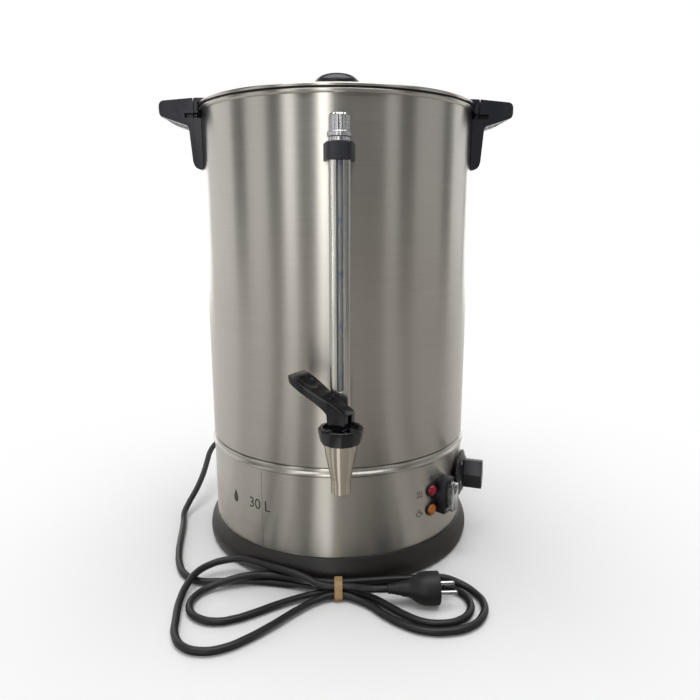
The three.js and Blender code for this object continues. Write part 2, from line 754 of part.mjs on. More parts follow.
function elementRing(meanRadius, wire, tails) {
  const middle = spreaderLow - gap - wire;
  const section = arc(meanRadius, middle, wire, 0, 300, 5);
  const ring = turned(section, 32);
  const legs = tails.map((x) => rod(wire - 0.8, middle - 22, middle, 12).translate(x, meanRadius, 0));
  return join(ring, ...legs);
}
add('heating_element', elementRing(90, 4, [-12, 12]), castMetal);
add('warming_element', elementRing(50, 3, [-8, 8]), castMetal);
add('thermal_cutout', rod(9, spreaderLow - gap - 8, spreaderLow - gap), ceramic);
const bulb = rod(3, -30, 30, 16).rotateY(Math.PI / 2);
add('thermostat_bulb', bulb, polishedSteel).position.set(0, -70, spreaderLow - gap - 3);
add('terminal_block', block(34, 20, coverHeight + coverThickness + gap, coverHeight + 20), ceramic)
  .position.set(-60, 60, 0);

// ---- Lamps, rocker switch and thermostat in the base shell ----

const lampProfile = [
  [0, tankBore - 14],
  [5, tankBore - 14],
  [5, tankRadius + 0.5],
  [lampRadius, tankRadius + 0.5],
  [lampRadius, tankRadius + 2],
  [lampRadius - 1.4, tankRadius + 4.4],
  [lampRadius - 4.2, tankRadius + 5.9],
  [0, tankRadius + 6.4],
];
const lamp = () => facingOut(turned(lampProfile, smallSegments));
add('heating_lamp', lamp(), redLens, facing(lampAzimuth, heatingLampHeight));
add('keep_warm_lamp', lamp(), amberLens, facing(lampAzimuth, warmLampHeight));

const switchGroup = facing(switchAzimuth, switchHeight);
const switchFront = tankRadius + switchDepth;
const rockerWidth = 9.6;
const rockerHalf = 14;
const slab = (width, half, from, to) => sideCut([[from, -half], [to, -half], [to, half], [from, half]], width);
const switchBox = cut(slab(switchWidth, switchTall / 2, tankRadius - 6, switchFront), tankSurface(-60, 60));
const switchBody = slab(12.4, 15.4, tankRadius - 18, tankRadius + 3);
const rockerWell = slab(rockerWidth + 1, rockerHalf + 1.6, tankRadius + 1, switchFront + 1);
add('switch_housing', cut(join(switchBox, switchBody), rockerWell), blackPlastic, switchGroup);

// The rocker is drawn level about its pivot and rests tilted to off.
const rockerPivot = tankRadius + 7;
const rockerProud = 8.5; // rocker's middle above the pivot
const rocker = sideCut([
  [-3.5, -rockerHalf + 4],
  [rockerProud + 1.5, -rockerHalf],
  [rockerProud, 0],
  [rockerProud + 1.5, rockerHalf],
  [-3.5, rockerHalf - 4],
], rockerWidth);
const rockerMesh = add('switch_rocker', rocker, glossBlack, switchGroup);
rockerMesh.position.y = -rockerPivot;
rockerMesh.rotation.x = radians(rockerTilt);

const coverTop = switchFront + 9.6;
const splashOutside = slab(13.6, 17.2, switchFront + gap, coverTop);
const splashInside = slab(12, 16.4, switchFront, coverTop - 0.8);
add('splash_cover', cut(splashOutside, splashInside), clearPlastic, switchGroup);

const dial = facing(thermostatAzimuth, thermostatHeight);
const dialBack = tankRadius + 1.5;
const dialFace = tankRadius + dialDepth;
const skirtProfile = [
  [0, dialBack],
  [dialRadius - 3, dialBack],
  [dialRadius, dialBack + 1],
  [dialRadius, dialBack + 2.6],
  [dialRadius - 1.2, dialBack + 3.6],
  [dialRadius - 9, dialBack + 7.2],
  [0, dialBack + 8.5],
];
// The grip is a bar that is widest in the middle. It rests upright.
const gripOutline = [
  [-dialGripEnd / 2, dialGripLength / 2],
  [-dialGripWidth / 2, 0.8],
  [-dialGripWidth / 2, -0.8],
  [-dialGripEnd / 2, -dialGripLength / 2],
  [dialGripEnd / 2, -dialGripLength / 2],
  [dialGripWidth / 2, -0.8],
  [dialGripWidth / 2, 0.8],
  [dialGripEnd / 2, dialGripLength / 2],
];
const dialGrip = raised(gripOutline, dialBack + 5, dialFace);
const shaftHole = (low, high) => rod(shaftRadius + gap, low, high);
const dialKnob = cut(join(turned(skirtProfile, 36), dialGrip), shaftHole(dialBack - 1, dialFace - 9));
add('thermostat_knob', facingOut(dialKnob), blackPlastic, dial);
const shaftInner = tankBore - 14;
add('thermostat_shaft', facingOut(rod(shaftRadius, shaftInner, dialFace - 9.5)), polishedSteel, dial);
const thermostatBox = slab(36, 18, tankBore - 25, tankBore - 7);
const thermostatBush = facingOut(rod(4.8, tankBore - 8, tankBore + 0.5));
const thermostatWay = facingOut(shaftHole(shaftInner - 0.5, tankRadius));
add('thermostat', cut(join(thermostatBox, thermostatBush), thermostatWay), ceramic, dial);

// ---- Mains lead ----

const glandEnd = tankRadius + glandLength;
const glandProfile = [
  [0, tankBore - 10],
  [7.5, tankBore - 10],
  [7.5, tankRadius + 0.5],
  [11, tankRadius + 0.5],
  [11, tankRadius + 4],
  [8.6, tankRadius + 5.5],
  [cordRadius + 1.6, glandEnd - 3],
  [cordRadius + 0.5, glandEnd],
  [0, glandEnd],
];
add('strain_relief', facingOut(turned(glandProfile, smallSegments)), blackRubber,
  facing(glandAzimuth, glandHeight));

const exitAngle = radians(glandAzimuth);
const exitRadius = glandEnd + gap;
const exitPoint = [exitRadius * Math.sin(exitAngle), -exitRadius * Math.cos(exitAngle), glandHeight];
const plugStart = [52, -213, plugRadius + 0.1];

// The lead's route by its middle line: down behind the urn, forward along its left side, then to and fro
// in front of it, gathered once by the band, and into the plug.
const cordRoute = [
  exitPoint,
  [-151.5, 150.9, 77.8], [-163.5, 156.8, 76.3], [-178.5, 156.8, 72.8], [-192, 149.8, 68],
  [-201.5, 138, 62.5],
  [-206, 122, 56.5], [-207, 105, 49.5], [-208, 88, 42], [-210.5, 66, 33], [-214.5, 44, 24.5],
  [-220, 24, 16], [-223, 6, 9],
  [-220, -14, 4.8], [-216, -40, 4.3], [-212, -70, 4.3], [-207, -100, 4.3], [-199, -130, 4.3],
  [-187, -153, 4.3], [-168, -167, 4.3], [-140, -169, 4.3], [-104, -169, 4.3], [-78, -173, 4.3],
  [-56, -178, 4.3], [-32, -184, 4.6], [-12, -186.5, 6.4], [6, -186.5, 6.4], [30, -185.5, 4.6],
  [65, -184.5, 4.3], [108, -185, 4.3], [126, -190, 4.3], [139.2, -203, 4.3], [144, -221, 4.3],
  [139.2, -239, 4.3], [126, -252, 4.3], [108, -257, 4.3], [88, -254, 4.3], [70, -242, 4.3],
  [54, -226, 4.3], [38, -210, 4.3], [22, -199.5, 4.8], [6, -195.5, 6.4], [-12, -195.5, 6.4],
  [-30, -199, 4.6], [-50, -206.5, 4.3], [-74, -219, 4.3], [-96, -232.5, 4.3], [-115, -242, 4.3],
  [-134, -246, 4.3], [-152, -241, 4.3], [-164.5, -229, 4.3], [-169, -212, 4.3], [-164.5, -195, 4.3],
  [-152, -183, 6], [-134, -177.5, 10], [-112, -173, 13.2], [-86, -171, 13.2], [-60, -177, 13.2], [-34, -185.5, 13.2], [-12, -191, 14.4],
  [6, -191, 14.4], [34, -187, 13.2], [66, -184.5, 13.2], [100, -184, 13.2], [120, -183, 12.8],
  [139, -188, 8], [153, -201, 4.6], [159, -222, 4.3], [152, -246, 4.3], [135, -263, 4.3],
  [112, -270, 4.3], [86, -268, 4.3], [64, -256, 4.3], [46, -239, 4.3], [32, -222, 4.3],
  [19, -211.5, 4.7], [5, -205, 6.4], [-11, -204.8, 6.4], [-28, -211.5, 4.7], [-48, -228, 4.3],
  [-73, -253.5, 4.3], [-98, -276, 4.3], [-119, -289.5, 4.3], [-141, -293.5, 4.3], [-160.5, -286, 4.3],
  [-172.5, -268, 4.3], [-178, -241, 4.3], [-181, -208, 6], [-178, -184, 10.5], [-171, -165, 14],
  [-158, -151, 15.8], [-141, -145, 18], [-122, -146, 20], [-104, -155.5, 21.6], [-84, -167, 22.1],
  [-61, -179, 22.1], [-41, -189, 19.6], [-25, -196.8, 15.8], [-11, -200, 14.4], [3, -200.2, 14.4],
  [15, -203, 15], [27, -209, 17], [40, -212.5, 18.4], plugStart,
].map((point) => new THREE.Vector3(...point));

const cordSteps = 96;
add('power_cord', new THREE.ExtrudeGeometry(roundSection(cordRadius, 8), {
  steps: cordSteps,
  extrudePath: new THREE.CatmullRomCurve3(cordRoute),
}), blackRubber);

// The elastic band goes once round the five strands.
function aroundStrands(centres, radius) {
  const turns = [[180, 270], [270, 360], [0, 90], [90, 180]];
  return centres.flatMap(([y, z], i) => arc(y, z, radius, ...turns[i], 4));
}
const strandCorners = [[-204.5, 6.4], [-186.5, 6.4], [-191, 14.4], [-200, 14.4]];
const bandWidth = 9;
const bandMiddle = -3;
const bandOutside = raised(aroundStrands(strandCorners, cordRadius + 2.1), 0, bandWidth);
const bandInside = raised(aroundStrands(strandCorners, cordRadius + 1.7), -1, bandWidth + 1);
const band = cut(bandOutside, bandInside);
const bandFrame = new THREE.Matrix4().makeBasis(
  new THREE.Vector3(0, 1, 0), new THREE.Vector3(0, 0, 1), new THREE.Vector3(1, 0, 0));
add('cord_band', band.applyMatrix4(bandFrame), elasticBand).position.x = bandMiddle - bandWidth / 2;

const plug = new THREE.Group();
plug.position.set(...plugStart);
plug.rotation.y = Math.PI / 2;
urn.add(plug);
const plugProfile = [
  [0, gap],
  [cordRadius + 1, gap],
  [7.5, 12],
  [9.5, 24],
  [12.5, 28],
  [plugRadius - 2, 35],
  [plugRadius, 43],
  [plugRadius, plugLength],
  [0, plugLength],
];
add('plug_body', turned(plugProfile, smallSegments), blackRubber, plug);
[1, -1].forEach((side, i) => {
  const pin = rod(pinRadius, plugLength + gap, plugLength + gap + pinLength, 16);
  add('plug_pin_' + (i + 1), pin, polishedSteel, plug).position.y = (side * pinSpacing) / 2;
});

export default urn;
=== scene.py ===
import math

import bmesh
import bpy
from mathutils import Matrix, Vector


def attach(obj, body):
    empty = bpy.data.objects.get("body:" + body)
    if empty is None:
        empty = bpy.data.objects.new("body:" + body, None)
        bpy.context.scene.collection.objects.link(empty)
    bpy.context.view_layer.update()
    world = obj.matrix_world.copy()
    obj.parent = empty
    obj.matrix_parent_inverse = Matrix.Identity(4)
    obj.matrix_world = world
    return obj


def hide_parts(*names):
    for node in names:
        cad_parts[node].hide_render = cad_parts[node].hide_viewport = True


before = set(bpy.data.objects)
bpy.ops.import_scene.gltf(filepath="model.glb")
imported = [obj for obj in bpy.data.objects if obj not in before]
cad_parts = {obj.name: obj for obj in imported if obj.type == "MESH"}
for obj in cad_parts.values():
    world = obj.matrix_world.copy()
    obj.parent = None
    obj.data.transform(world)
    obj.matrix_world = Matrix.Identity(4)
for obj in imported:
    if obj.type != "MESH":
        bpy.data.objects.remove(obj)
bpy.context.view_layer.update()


# ---------------------------------------------------------------------------
# Camera, floor and studio light.
# The camera stands in front of the tap, a little above the middle of the urn, and looks slightly down.
# ---------------------------------------------------------------------------

camera_data = bpy.data.cameras.new("camera")
camera_data.lens = 32.7
camera_data.sensor_width = 36
camera = bpy.data.objects.new("camera", camera_data)
bpy.context.scene.collection.objects.link(camera)
camera.location = (-0.0104, -0.8562, 0.4251)
tilt = 0.2032
looking = Vector((0.0314 * math.cos(tilt), 0.9995 * math.cos(tilt), -math.sin(tilt)))
camera.rotation_mode = "QUATERNION"
camera.rotation_quaternion = looking.to_track_quat("-Z", "Y")
bpy.context.scene.camera = camera
bpy.context.scene.view_settings.view_transform = "Standard"

world = bpy.data.worlds.new("studio")
bpy.context.scene.world = world
world.use_nodes = True
sky = world.node_tree.nodes["Background"]
sky.inputs["Color"].default_value = (0.97, 0.98, 1.0, 1)
sky.inputs["Strength"].default_value = 0.13
seen_sky = world.node_tree.nodes.new("ShaderNodeBackground")
seen_sky.inputs["Color"].default_value = (1, 1, 1, 1)
seen_sky.inputs["Strength"].default_value = 1.0
ray = world.node_tree.nodes.new("ShaderNodeLightPath")
choice = world.node_tree.nodes.new("ShaderNodeMixShader")
sky_links = world.node_tree.links
sky_links.new(ray.outputs["Is Camera Ray"], choice.inputs[0])
sky_links.new(sky.outputs[0], choice.inputs[1])
sky_links.new(seen_sky.outputs[0], choice.inputs[2])
sky_links.new(choice.outputs[0], world.node_tree.nodes["World Output"].inputs["Surface"])

# The floor is pale paper that brightens away from the urn until it meets the white of the studio.
bm = bmesh.new()
bmesh.ops.create_circle(bm, cap_ends=True, segments=96, radius=2.4)
floor_mesh = bpy.data.meshes.new("floor")
bm.to_mesh(floor_mesh)
bm.free()
floor = bpy.data.objects.new("floor", floor_mesh)
bpy.context.scene.collection.objects.link(floor)
floor.location.z = -0.0006
floor_paint = bpy.data.materials.new("floor_paint")
floor_paint.use_nodes = True
paper = floor_paint.node_tree.nodes
paper_links = floor_paint.node_tree.links
paper_shader = paper["Principled BSDF"]
paper_shader.inputs["Base Color"].default_value = (0.95, 0.95, 0.95, 1)
paper_shader.inputs["Roughness"].default_value = 0.9
glow = paper.new("ShaderNodeEmission")
where = paper.new("ShaderNodeTexCoord")
reach = paper.new("ShaderNodeVectorMath")
reach.operation = "LENGTH"
fade = paper.new("ShaderNodeMapRange")
fade.interpolation_type = "SMOOTHSTEP"
fade.inputs["From Min"].default_value = 0.2
fade.inputs["From Max"].default_value = 0.85
paper_mix = paper.new("ShaderNodeMixShader")
dull = paper.new("ShaderNodeBsdfDiffuse")
dull.inputs["Color"].default_value = (0.36, 0.34, 0.31, 1)
# Seen in the steel, the floor carries on the upright lights: bright where each stands, dull between them.
sweep = paper.new("ShaderNodeTexGradient")
sweep.gradient_type = "RADIAL"
bands = paper.new("ShaderNodeValToRGB")
bands.color_ramp.interpolation = "LINEAR"
band_glow = [(-180, 0.1), (-140, 0.5), (-90, 0.35), (-58, 0.35), (-50, 0.03), (-46, 0.03), (-42, 0.5),
             (-33, 0.5), (-29, 0.02), (-18, 0.02), (-15, 1), (-7, 1), (-3, 0.08), (32, 0.02), (38, 0.16),
             (48, 0.16), (54, 0.04), (64, 0.12), (92, 0.12), (110, 0.3), (140, 0.5), (180, 0.1)]
spots = sorted(((0.25 + azimuth / 360) % 1, level) for azimuth, level in band_glow[1:])
for index, (place, level) in enumerate(spots):
    stop = bands.color_ramp.elements[index] if index < 2 else bands.color_ramp.elements.new(place)
    stop.position = place
    stop.color = (level, level, level, 1)
bands_glow = paper.new("ShaderNodeEmission")
bands_glow.inputs["Strength"].default_value = 0.8
paper_links.new(where.outputs["Object"], sweep.inputs["Vector"])
paper_links.new(sweep.outputs["Fac"], bands.inputs["Fac"])
paper_links.new(bands.outputs["Color"], bands_glow.inputs["Color"])
dull_floor = paper.new("ShaderNodeAddShader")
paper_ray = paper.new("ShaderNodeLightPath")
paper_choice = paper.new("ShaderNodeMixShader")
paper_links.new(where.outputs["Object"], reach.inputs[0])
paper_links.new(reach.outputs["Value"], fade.inputs["Value"])
paper_links.new(fade.outputs["Result"], paper_mix.inputs[0])
paper_links.new(paper_shader.outputs[0], paper_mix.inputs[1])
paper_links.new(glow.outputs[0], paper_mix.inputs[2])
paper_links.new(paper_ray.outputs["Is Camera Ray"], paper_choice.inputs[0])
paper_links.new(dull.outputs[0], dull_floor.inputs[0])
paper_links.new(bands_glow.outputs[0], dull_floor.inputs[1])
paper_links.new(dull_floor.outputs[0], paper_choice.inputs[1])
paper_links.new(paper_mix.outputs[0], paper_choice.inputs[2])
paper_links.new(paper_choice.outputs[0], paper["Material Output"].inputs["Surface"])
floor_mesh.materials.append(floor_paint)


def softbox(name, azimuth, spread, glow, tall=2.0, distance=2.2):
    """A soft upright light round the urn (azimuth 0 is in front of the tap): its middle and its spread are
    in degrees as seen from the urn, and its glow is how bright its face looks."""
    data = bpy.data.lights.new(name, "AREA")
    data.shape = "RECTANGLE"
    data.size = 2 * distance * math.tan(math.radians(spread / 2))
    data.size_y = tall
    data.energy = glow * math.pi * data.size * data.size_y
    lamp = bpy.data.objects.new(name, data)
    bpy.context.scene.collection.objects.link(lamp)
    turn = math.radians(azimuth)
    lamp.location = (distance * math.sin(turn), -distance * math.cos(turn), tall / 2 + 0.01)
    lamp.rotation_euler = (math.pi / 2, 0, turn)
    lamp.visible_camera = False
    return lamp


softbox("edge_light_left", -150, 32, 1.5)
softbox("side_light_left", -112, 40, 0.75)
softbox("panel_left", -67, 20, 0.75)
softbox("front_light_left", -38, 10, 1.7)
softbox("streak_light", -11, 9, 3.4)
softbox("front_light_right", 43, 11, 0.5)
softbox("panel_right", 78, 30, 0.4)
softbox("side_light_right", 119, 26, 0.8)
softbox("edge_light_right", 152, 30, 1.5)
top_data = bpy.data.lights.new("overhead_light", "AREA")
top_data.size = 2.4
top_data.energy = 52
top_light = bpy.data.objects.new("overhead_light", top_data)
bpy.context.scene.collection.objects.link(top_light)
top_light.location = (0, -0.2, 2.5)
top_light.visible_camera = False


# ---------------------------------------------------------------------------
# Mains lead: a round rubber flex, 8.5 mm thick, from the gland at the back, along the urn's left side
# and to and fro in front of it. The shapes are drawn in millimetres and made metres at the end.
# ---------------------------------------------------------------------------


def nodes_of(name, roughness, metallic=0.0):
    """A new material, with its nodes, links and main shader."""
    made = bpy.data.materials.new(name)
    made.use_nodes = True
    shader = made.node_tree.nodes["Principled BSDF"]
    shader.inputs["Roughness"].default_value = roughness
    shader.inputs["Metallic"].default_value = metallic
    return made, made.node_tree.nodes, made.node_tree.links, shader


def finish(name, dark, light, roughness, metallic=0.0, stretch=(1, 1, 1), grain=900.0, depth=0.03,
           cloud=9.0, smear=0.03, brushed=0.0):
    """A finish with two scales: broad clouds shift the colour, and a fine grain marks and roughens it.
    The stretch squeezes the grain along an axis, as brushing or moulding does, and brushed is how far
    the gloss spreads across the brush marks."""
    made, nodes, links, shader = nodes_of(name, roughness, metallic)
    shader.inputs["Anisotropic"].default_value = brushed
    shader.inputs["Anisotropic Rotation"].default_value = 0.25
    place = nodes.new("ShaderNodeTexCoord")
    squeeze = nodes.new("ShaderNodeMapping")
    squeeze.inputs["Scale"].default_value = stretch
    links.new(place.outputs["Object"], squeeze.inputs["Vector"])
    fine = nodes.new("ShaderNodeTexNoise")
    fine.inputs["Scale"].default_value = grain
    fine.inputs["Detail"].default_value = 3
    links.new(squeeze.outputs["Vector"], fine.inputs["Vector"])
    broad = nodes.new("ShaderNodeTexNoise")
    broad.inputs["Scale"].default_value = cloud
    broad.inputs["Detail"].default_value = 4
    links.new(place.outputs["Object"], broad.inputs["Vector"])
    blend = nodes.new("ShaderNodeMix")
    blend.data_type = "FLOAT"
    blend.inputs["Factor"].default_value = 0.5
    links.new(fine.outputs["Fac"], blend.inputs["A"])
    links.new(broad.outputs["Fac"], blend.inputs["B"])
    shades = nodes.new("ShaderNodeValToRGB")
    shades.color_ramp.elements[0].position = 0.36
    shades.color_ramp.elements[0].color = (*dark, 1)
    shades.color_ramp.elements[1].position = 0.64
    shades.color_ramp.elements[1].color = (*light, 1)
    links.new(blend.outputs["Result"], shades.inputs["Fac"])
    links.new(shades.outputs["Color"], shader.inputs["Base Color"])
    spread = nodes.new("ShaderNodeMapRange")
    spread.inputs["From Min"].default_value = 0.3
    spread.inputs["From Max"].default_value = 0.7
    spread.inputs["To Min"].default_value = roughness - smear
    spread.inputs["To Max"].default_value = roughness + smear
    links.new(fine.outputs["Fac"], spread.inputs["Value"])
    links.new(spread.outputs["Result"], shader.inputs["Roughness"])
    bump = nodes.new("ShaderNodeBump")
    bump.inputs["Strength"].default_value = depth
    bump.inputs["Distance"].default_value = 0.001
    links.new(fine.outputs["Fac"], bump.inputs["Height"])
    links.new(bump.outputs["Normal"], shader.inputs["Normal"])
    return made


def joins(obj, body, slot, *nodes):
    """The piece rides on a body and stands for CAD nodes. The slot is not used."""
    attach(obj, body)
    if nodes:
        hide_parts(*nodes)
    return obj


plug_start = (52, -213, 18.6)
route = [
    (-144.46, 144.46, 78),
    (-151.5, 150.9, 77.8), (-163.5, 156.8, 76.3), (-178.5, 156.8, 72.8), (-192, 149.8, 68),
    (-201.5, 138, 62.5), (-206, 122, 56.5), (-207, 105, 49.5), (-208, 88, 42), (-210.5, 66, 33),
    (-214.5, 44, 24.5), (-220, 24, 16), (-223, 6, 9),
    (-220, -14, 4.8), (-216, -40, 4.3), (-212, -70, 4.3), (-207, -100, 4.3), (-199, -130, 4.3),
    (-187, -153, 4.3), (-168, -167, 4.3), (-140, -169, 4.3), (-104, -169, 4.3), (-78, -173, 4.3),
    (-56, -178, 4.3), (-32, -184, 4.6), (-12, -186.5, 6.4), (6, -186.5, 6.4), (30, -185.5, 4.6),
    (65, -184.5, 4.3), (108, -185, 4.3), (126, -190, 4.3), (139.2, -203, 4.3), (144, -221, 4.3),
    (139.2, -239, 4.3), (126, -252, 4.3), (108, -257, 4.3), (88, -254, 4.3), (70, -242, 4.3),
    (54, -226, 4.3), (38, -210, 4.3), (22, -199.5, 4.8), (6, -195.5, 6.4), (-12, -195.5, 6.4),
    (-30, -199, 4.6), (-50, -206.5, 4.3), (-74, -219, 4.3), (-96, -232.5, 4.3), (-115, -242, 4.3),
    (-134, -246, 4.3), (-152, -241, 4.3), (-164.5, -229, 4.3), (-169, -212, 4.3), (-164.5, -195, 4.3),
    (-152, -183, 6), (-134, -177.5, 10),
    (-112, -173, 13.2), (-86, -171, 13.2), (-60, -177, 13.2), (-34, -185.5, 13.2), (-12, -191, 14.4),
    (6, -191, 14.4), (34, -187, 13.2), (66, -184.5, 13.2), (100, -184, 13.2), (120, -183, 12.8),
    (139, -188, 8), (153, -201, 4.6), (159, -222, 4.3), (152, -246, 4.3), (135, -263, 4.3),
    (112, -270, 4.3), (86, -268, 4.3), (64, -256, 4.3), (46, -239, 4.3), (32, -222, 4.3),
    (19, -211.5, 4.7), (5, -205, 6.4), (-11, -204.8, 6.4), (-28, -211.5, 4.7), (-48, -228, 4.3),
    (-73, -253.5, 4.3), (-98, -276, 4.3), (-119, -289.5, 4.3), (-141, -293.5, 4.3), (-160.5, -286, 4.3),
    (-172.5, -268, 4.3), (-178, -241, 4.3), (-181, -208, 6), (-178, -184, 10.5), (-171, -165, 14),
    (-158, -151, 15.8), (-141, -145, 18), (-122, -146, 20), (-104, -155.5, 21.6), (-84, -167, 22.1),
    (-61, -179, 22.1), (-41, -189, 19.6), (-25, -196.8, 15.8), (-11, -200, 14.4), (3, -200.2, 14.4),
    (15, -203, 15), (27, -209, 17), (40, -212.5, 18.4), plug_start,
]
flex_data = bpy.data.curves.new("power_cord_flex", "CURVE")
flex_data.dimensions = "3D"
flex_data.bevel_depth = 0.00425
flex_data.bevel_resolution = 5
flex_data.resolution_u = 6
flex_data.use_fill_caps = True
line = flex_data.splines.new("BEZIER")
line.bezier_points.add(len(route) - 1)
for point, corner in zip(line.bezier_points, route):
    point.co = [value / 1000 for value in corner]
    point.handle_left_type = "AUTO"
    point.handle_right_type = "AUTO"
flex = bpy.data.objects.new("power_cord_flex", flex_data)
bpy.context.scene.collection.objects.link(flex)
flex_rubber = finish("flex_rubber", (0.006, 0.006, 0.007), (0.014, 0.014, 0.015), 0.42, grain=1500, depth=0.05)
flex_data.materials.append(flex_rubber)
joins(flex, "urn", "black_rubber", "power_cord")


# ---------------------------------------------------------------------------
# Strain relief: a moulded rubber gland that grips the lead where it leaves the base shell.
# It is pushed through the shell's hole, and rings run along it.
# ---------------------------------------------------------------------------


def spun(profile, sides=96):
    """A (radius, height) outline turned about the upright axis. It starts and ends on the axis, or closes."""
    bm = bmesh.new()
    points = [bm.verts.new((radius, 0, height)) for radius, height in profile]
    edges = [bm.edges.new(pair) for pair in zip(points, points[1:])]
    if profile[0][0] > 0 or profile[-1][0] > 0:
        edges.append(bm.edges.new((points[-1], points[0])))
    bmesh.ops.spin(bm, geom=points + edges, cent=(0, 0, 0), axis=(0, 0, 1), dvec=(0, 0, 0),
                   angle=math.tau, steps=sides, use_merge=True)
    bmesh.ops.remove_doubles(bm, verts=bm.verts, dist=0.001)
    bmesh.ops.dissolve_degenerate(bm, edges=bm.edges, dist=0.0005)
    bmesh.ops.recalc_face_normals(bm, faces=bm.faces)
    return bm


def softened(bm, width, segments=2, over=32):
    """Rounds the edges whose faces meet at more than the given angle."""
    bm.normal_update()
    sharp = [edge for edge in bm.edges
             if len(edge.link_faces) == 2 and math.degrees(edge.calc_face_angle(0)) > over]
    bmesh.ops.bevel(bm, geom=sharp, offset=width, offset_type="OFFSET", segments=segments, profile=0.5,
                    affect="EDGES", material=-1, clamp_overlap=True)
    return bm


def moved(bm, turn=0.0, at=(0, 0, 0), azimuth=0.0, outwards=False):
    """Lays a shape to face outwards if asked, turns it about its own upright, moves it, and carries it
    round the urn to an azimuth."""
    if outwards:
        bmesh.ops.rotate(bm, verts=bm.verts, matrix=Matrix.Rotation(math.pi / 2, 3, "X"))
    bmesh.ops.rotate(bm, verts=bm.verts, matrix=Matrix.Rotation(math.radians(turn), 3, "Z"))
    bmesh.ops.translate(bm, verts=bm.verts, vec=at)
    bmesh.ops.rotate(bm, verts=bm.verts, matrix=Matrix.Rotation(math.radians(azimuth), 3, "Z"))
    return bm


def piece(name, bm, material, smooth=34):
    """The finished shape as an object in metres, smooth except across its sharp edges."""
    bmesh.ops.scale(bm, verts=bm.verts, vec=(0.001, 0.001, 0.001))
    mesh = bpy.data.meshes.new(name)
    bm.to_mesh(mesh)
    bm.free()
    for face in mesh.polygons:
        face.use_smooth = True
    mesh.set_sharp_from_angle(angle=math.radians(smooth))
    mesh.materials.append(material)
    made = bpy.data.objects.new(name, mesh)
    bpy.context.scene.collection.objects.link(made)
    return made


gland_azimuth = -135
gland_profile = [(0, 159), (7.5, 159), (7.5, 170.5), (11, 170.5), (11, 174), (8.9, 175.5)]
for ring in range(5):
    start = 177 + ring * 4.6
    wide = 8.7 - ring * 0.62
    gland_profile += [(wide, start), (wide - 0.1, start + 2.5), (wide - 1.3, start + 2.9), (wide - 1.4, start + 4.2)]
gland_profile += [(5.2, 201), (4.75, 204), (0, 204)]
gland = softened(spun(gland_profile, 40), 0.3, 2)
moulded_rubber = finish("moulded_rubber", (0.008, 0.008, 0.009), (0.018, 0.018, 0.019), 0.5, grain=1900, depth=0.06)
moved(gland, azimuth=gland_azimuth, at=(0, 0, 78), outwards=True)
gland_piece = joins(piece("cord_gland", gland, moulded_rubber), "urn", "black_rubber", "strain_relief")


# ---------------------------------------------------------------------------
# Plug: a round moulded two-pin plug on the end of the lead, lying on its side in front of the urn.
# The pins are plated brass, round, with rounded tips.
# ---------------------------------------------------------------------------

plug_profile = [(0, 0.3), (5.3, 0.3), (5.6, 3), (5.2, 3.6), (6.2, 7), (5.8, 7.6), (7.2, 11.5), (6.8, 12.2),
                (8.4, 17), (9.3, 23), (11, 27), (14.2, 31), (16.8, 35.5), (18.2, 41), (18.5, 46),
                (18.5, 57), (17.6, 58), (0, 58)]
plug = softened(spun(plug_profile, 48), 0.4, 2, over=40)
bmesh.ops.rotate(plug, verts=plug.verts, matrix=Matrix.Rotation(math.pi / 2, 3, "Y"))
plug_piece = joins(piece("plug_moulding", moved(plug, at=plug_start), moulded_rubber),
                   "urn", "black_rubber", "plug_body")
plated = finish("plated", (0.60, 0.60, 0.61), (0.72, 0.72, 0.73), 0.22, 1.0, grain=700, depth=0.02)
for number, side in ((1, 1), (2, -1)):
    pin = spun([(0, 58.3), (2.4, 58.3), (2.4, 75), (2.1, 76.5), (1.3, 77.2), (0, 77.3)], 24)
    bmesh.ops.rotate(pin, verts=pin.verts, matrix=Matrix.Rotation(math.pi / 2, 3, "Y"))
    moved(pin, at=(plug_start[0], plug_start[1] + side * 9.5, plug_start[2]))
    joins(piece(f"plug_prong_{number}", pin, plated), "urn", "polished_steel",
                            f"plug_pin_{number}")


# ---------------------------------------------------------------------------
# Elastic band: a flat tan rubber band, wrapped once round the strands of the lead where they meet.
# ---------------------------------------------------------------------------


def arc(x, y, radius, start, end, steps):
    """Points on a circle's arc, with its angles in degrees."""
    turns = [math.radians(start + (end - start) * step / steps) for step in range(steps + 1)]
    return [(x + radius * math.cos(turn), y + radius * math.sin(turn)) for turn in turns]


def prism(outline, low, high, axis="Z"):
    """An outline given thickness. Along Z it is drawn in (x, y); along X in (distance outwards, height)."""
    bm = bmesh.new()
    if axis == "Z":
        corners = [bm.verts.new((x, y, low)) for x, y in outline]
        push = (0, 0, high - low)
    else:
        corners = [bm.verts.new((low, -out, height)) for out, height in outline]
        push = (high - low, 0, 0)
    face = bm.faces.new(corners)
    raised = bmesh.ops.extrude_face_region(bm, geom=[face])
    tops = [item for item in raised["geom"] if isinstance(item, bmesh.types.BMVert)]
    bmesh.ops.translate(bm, verts=tops, vec=push)
    bmesh.ops.recalc_face_normals(bm, faces=bm.faces)
    return bm


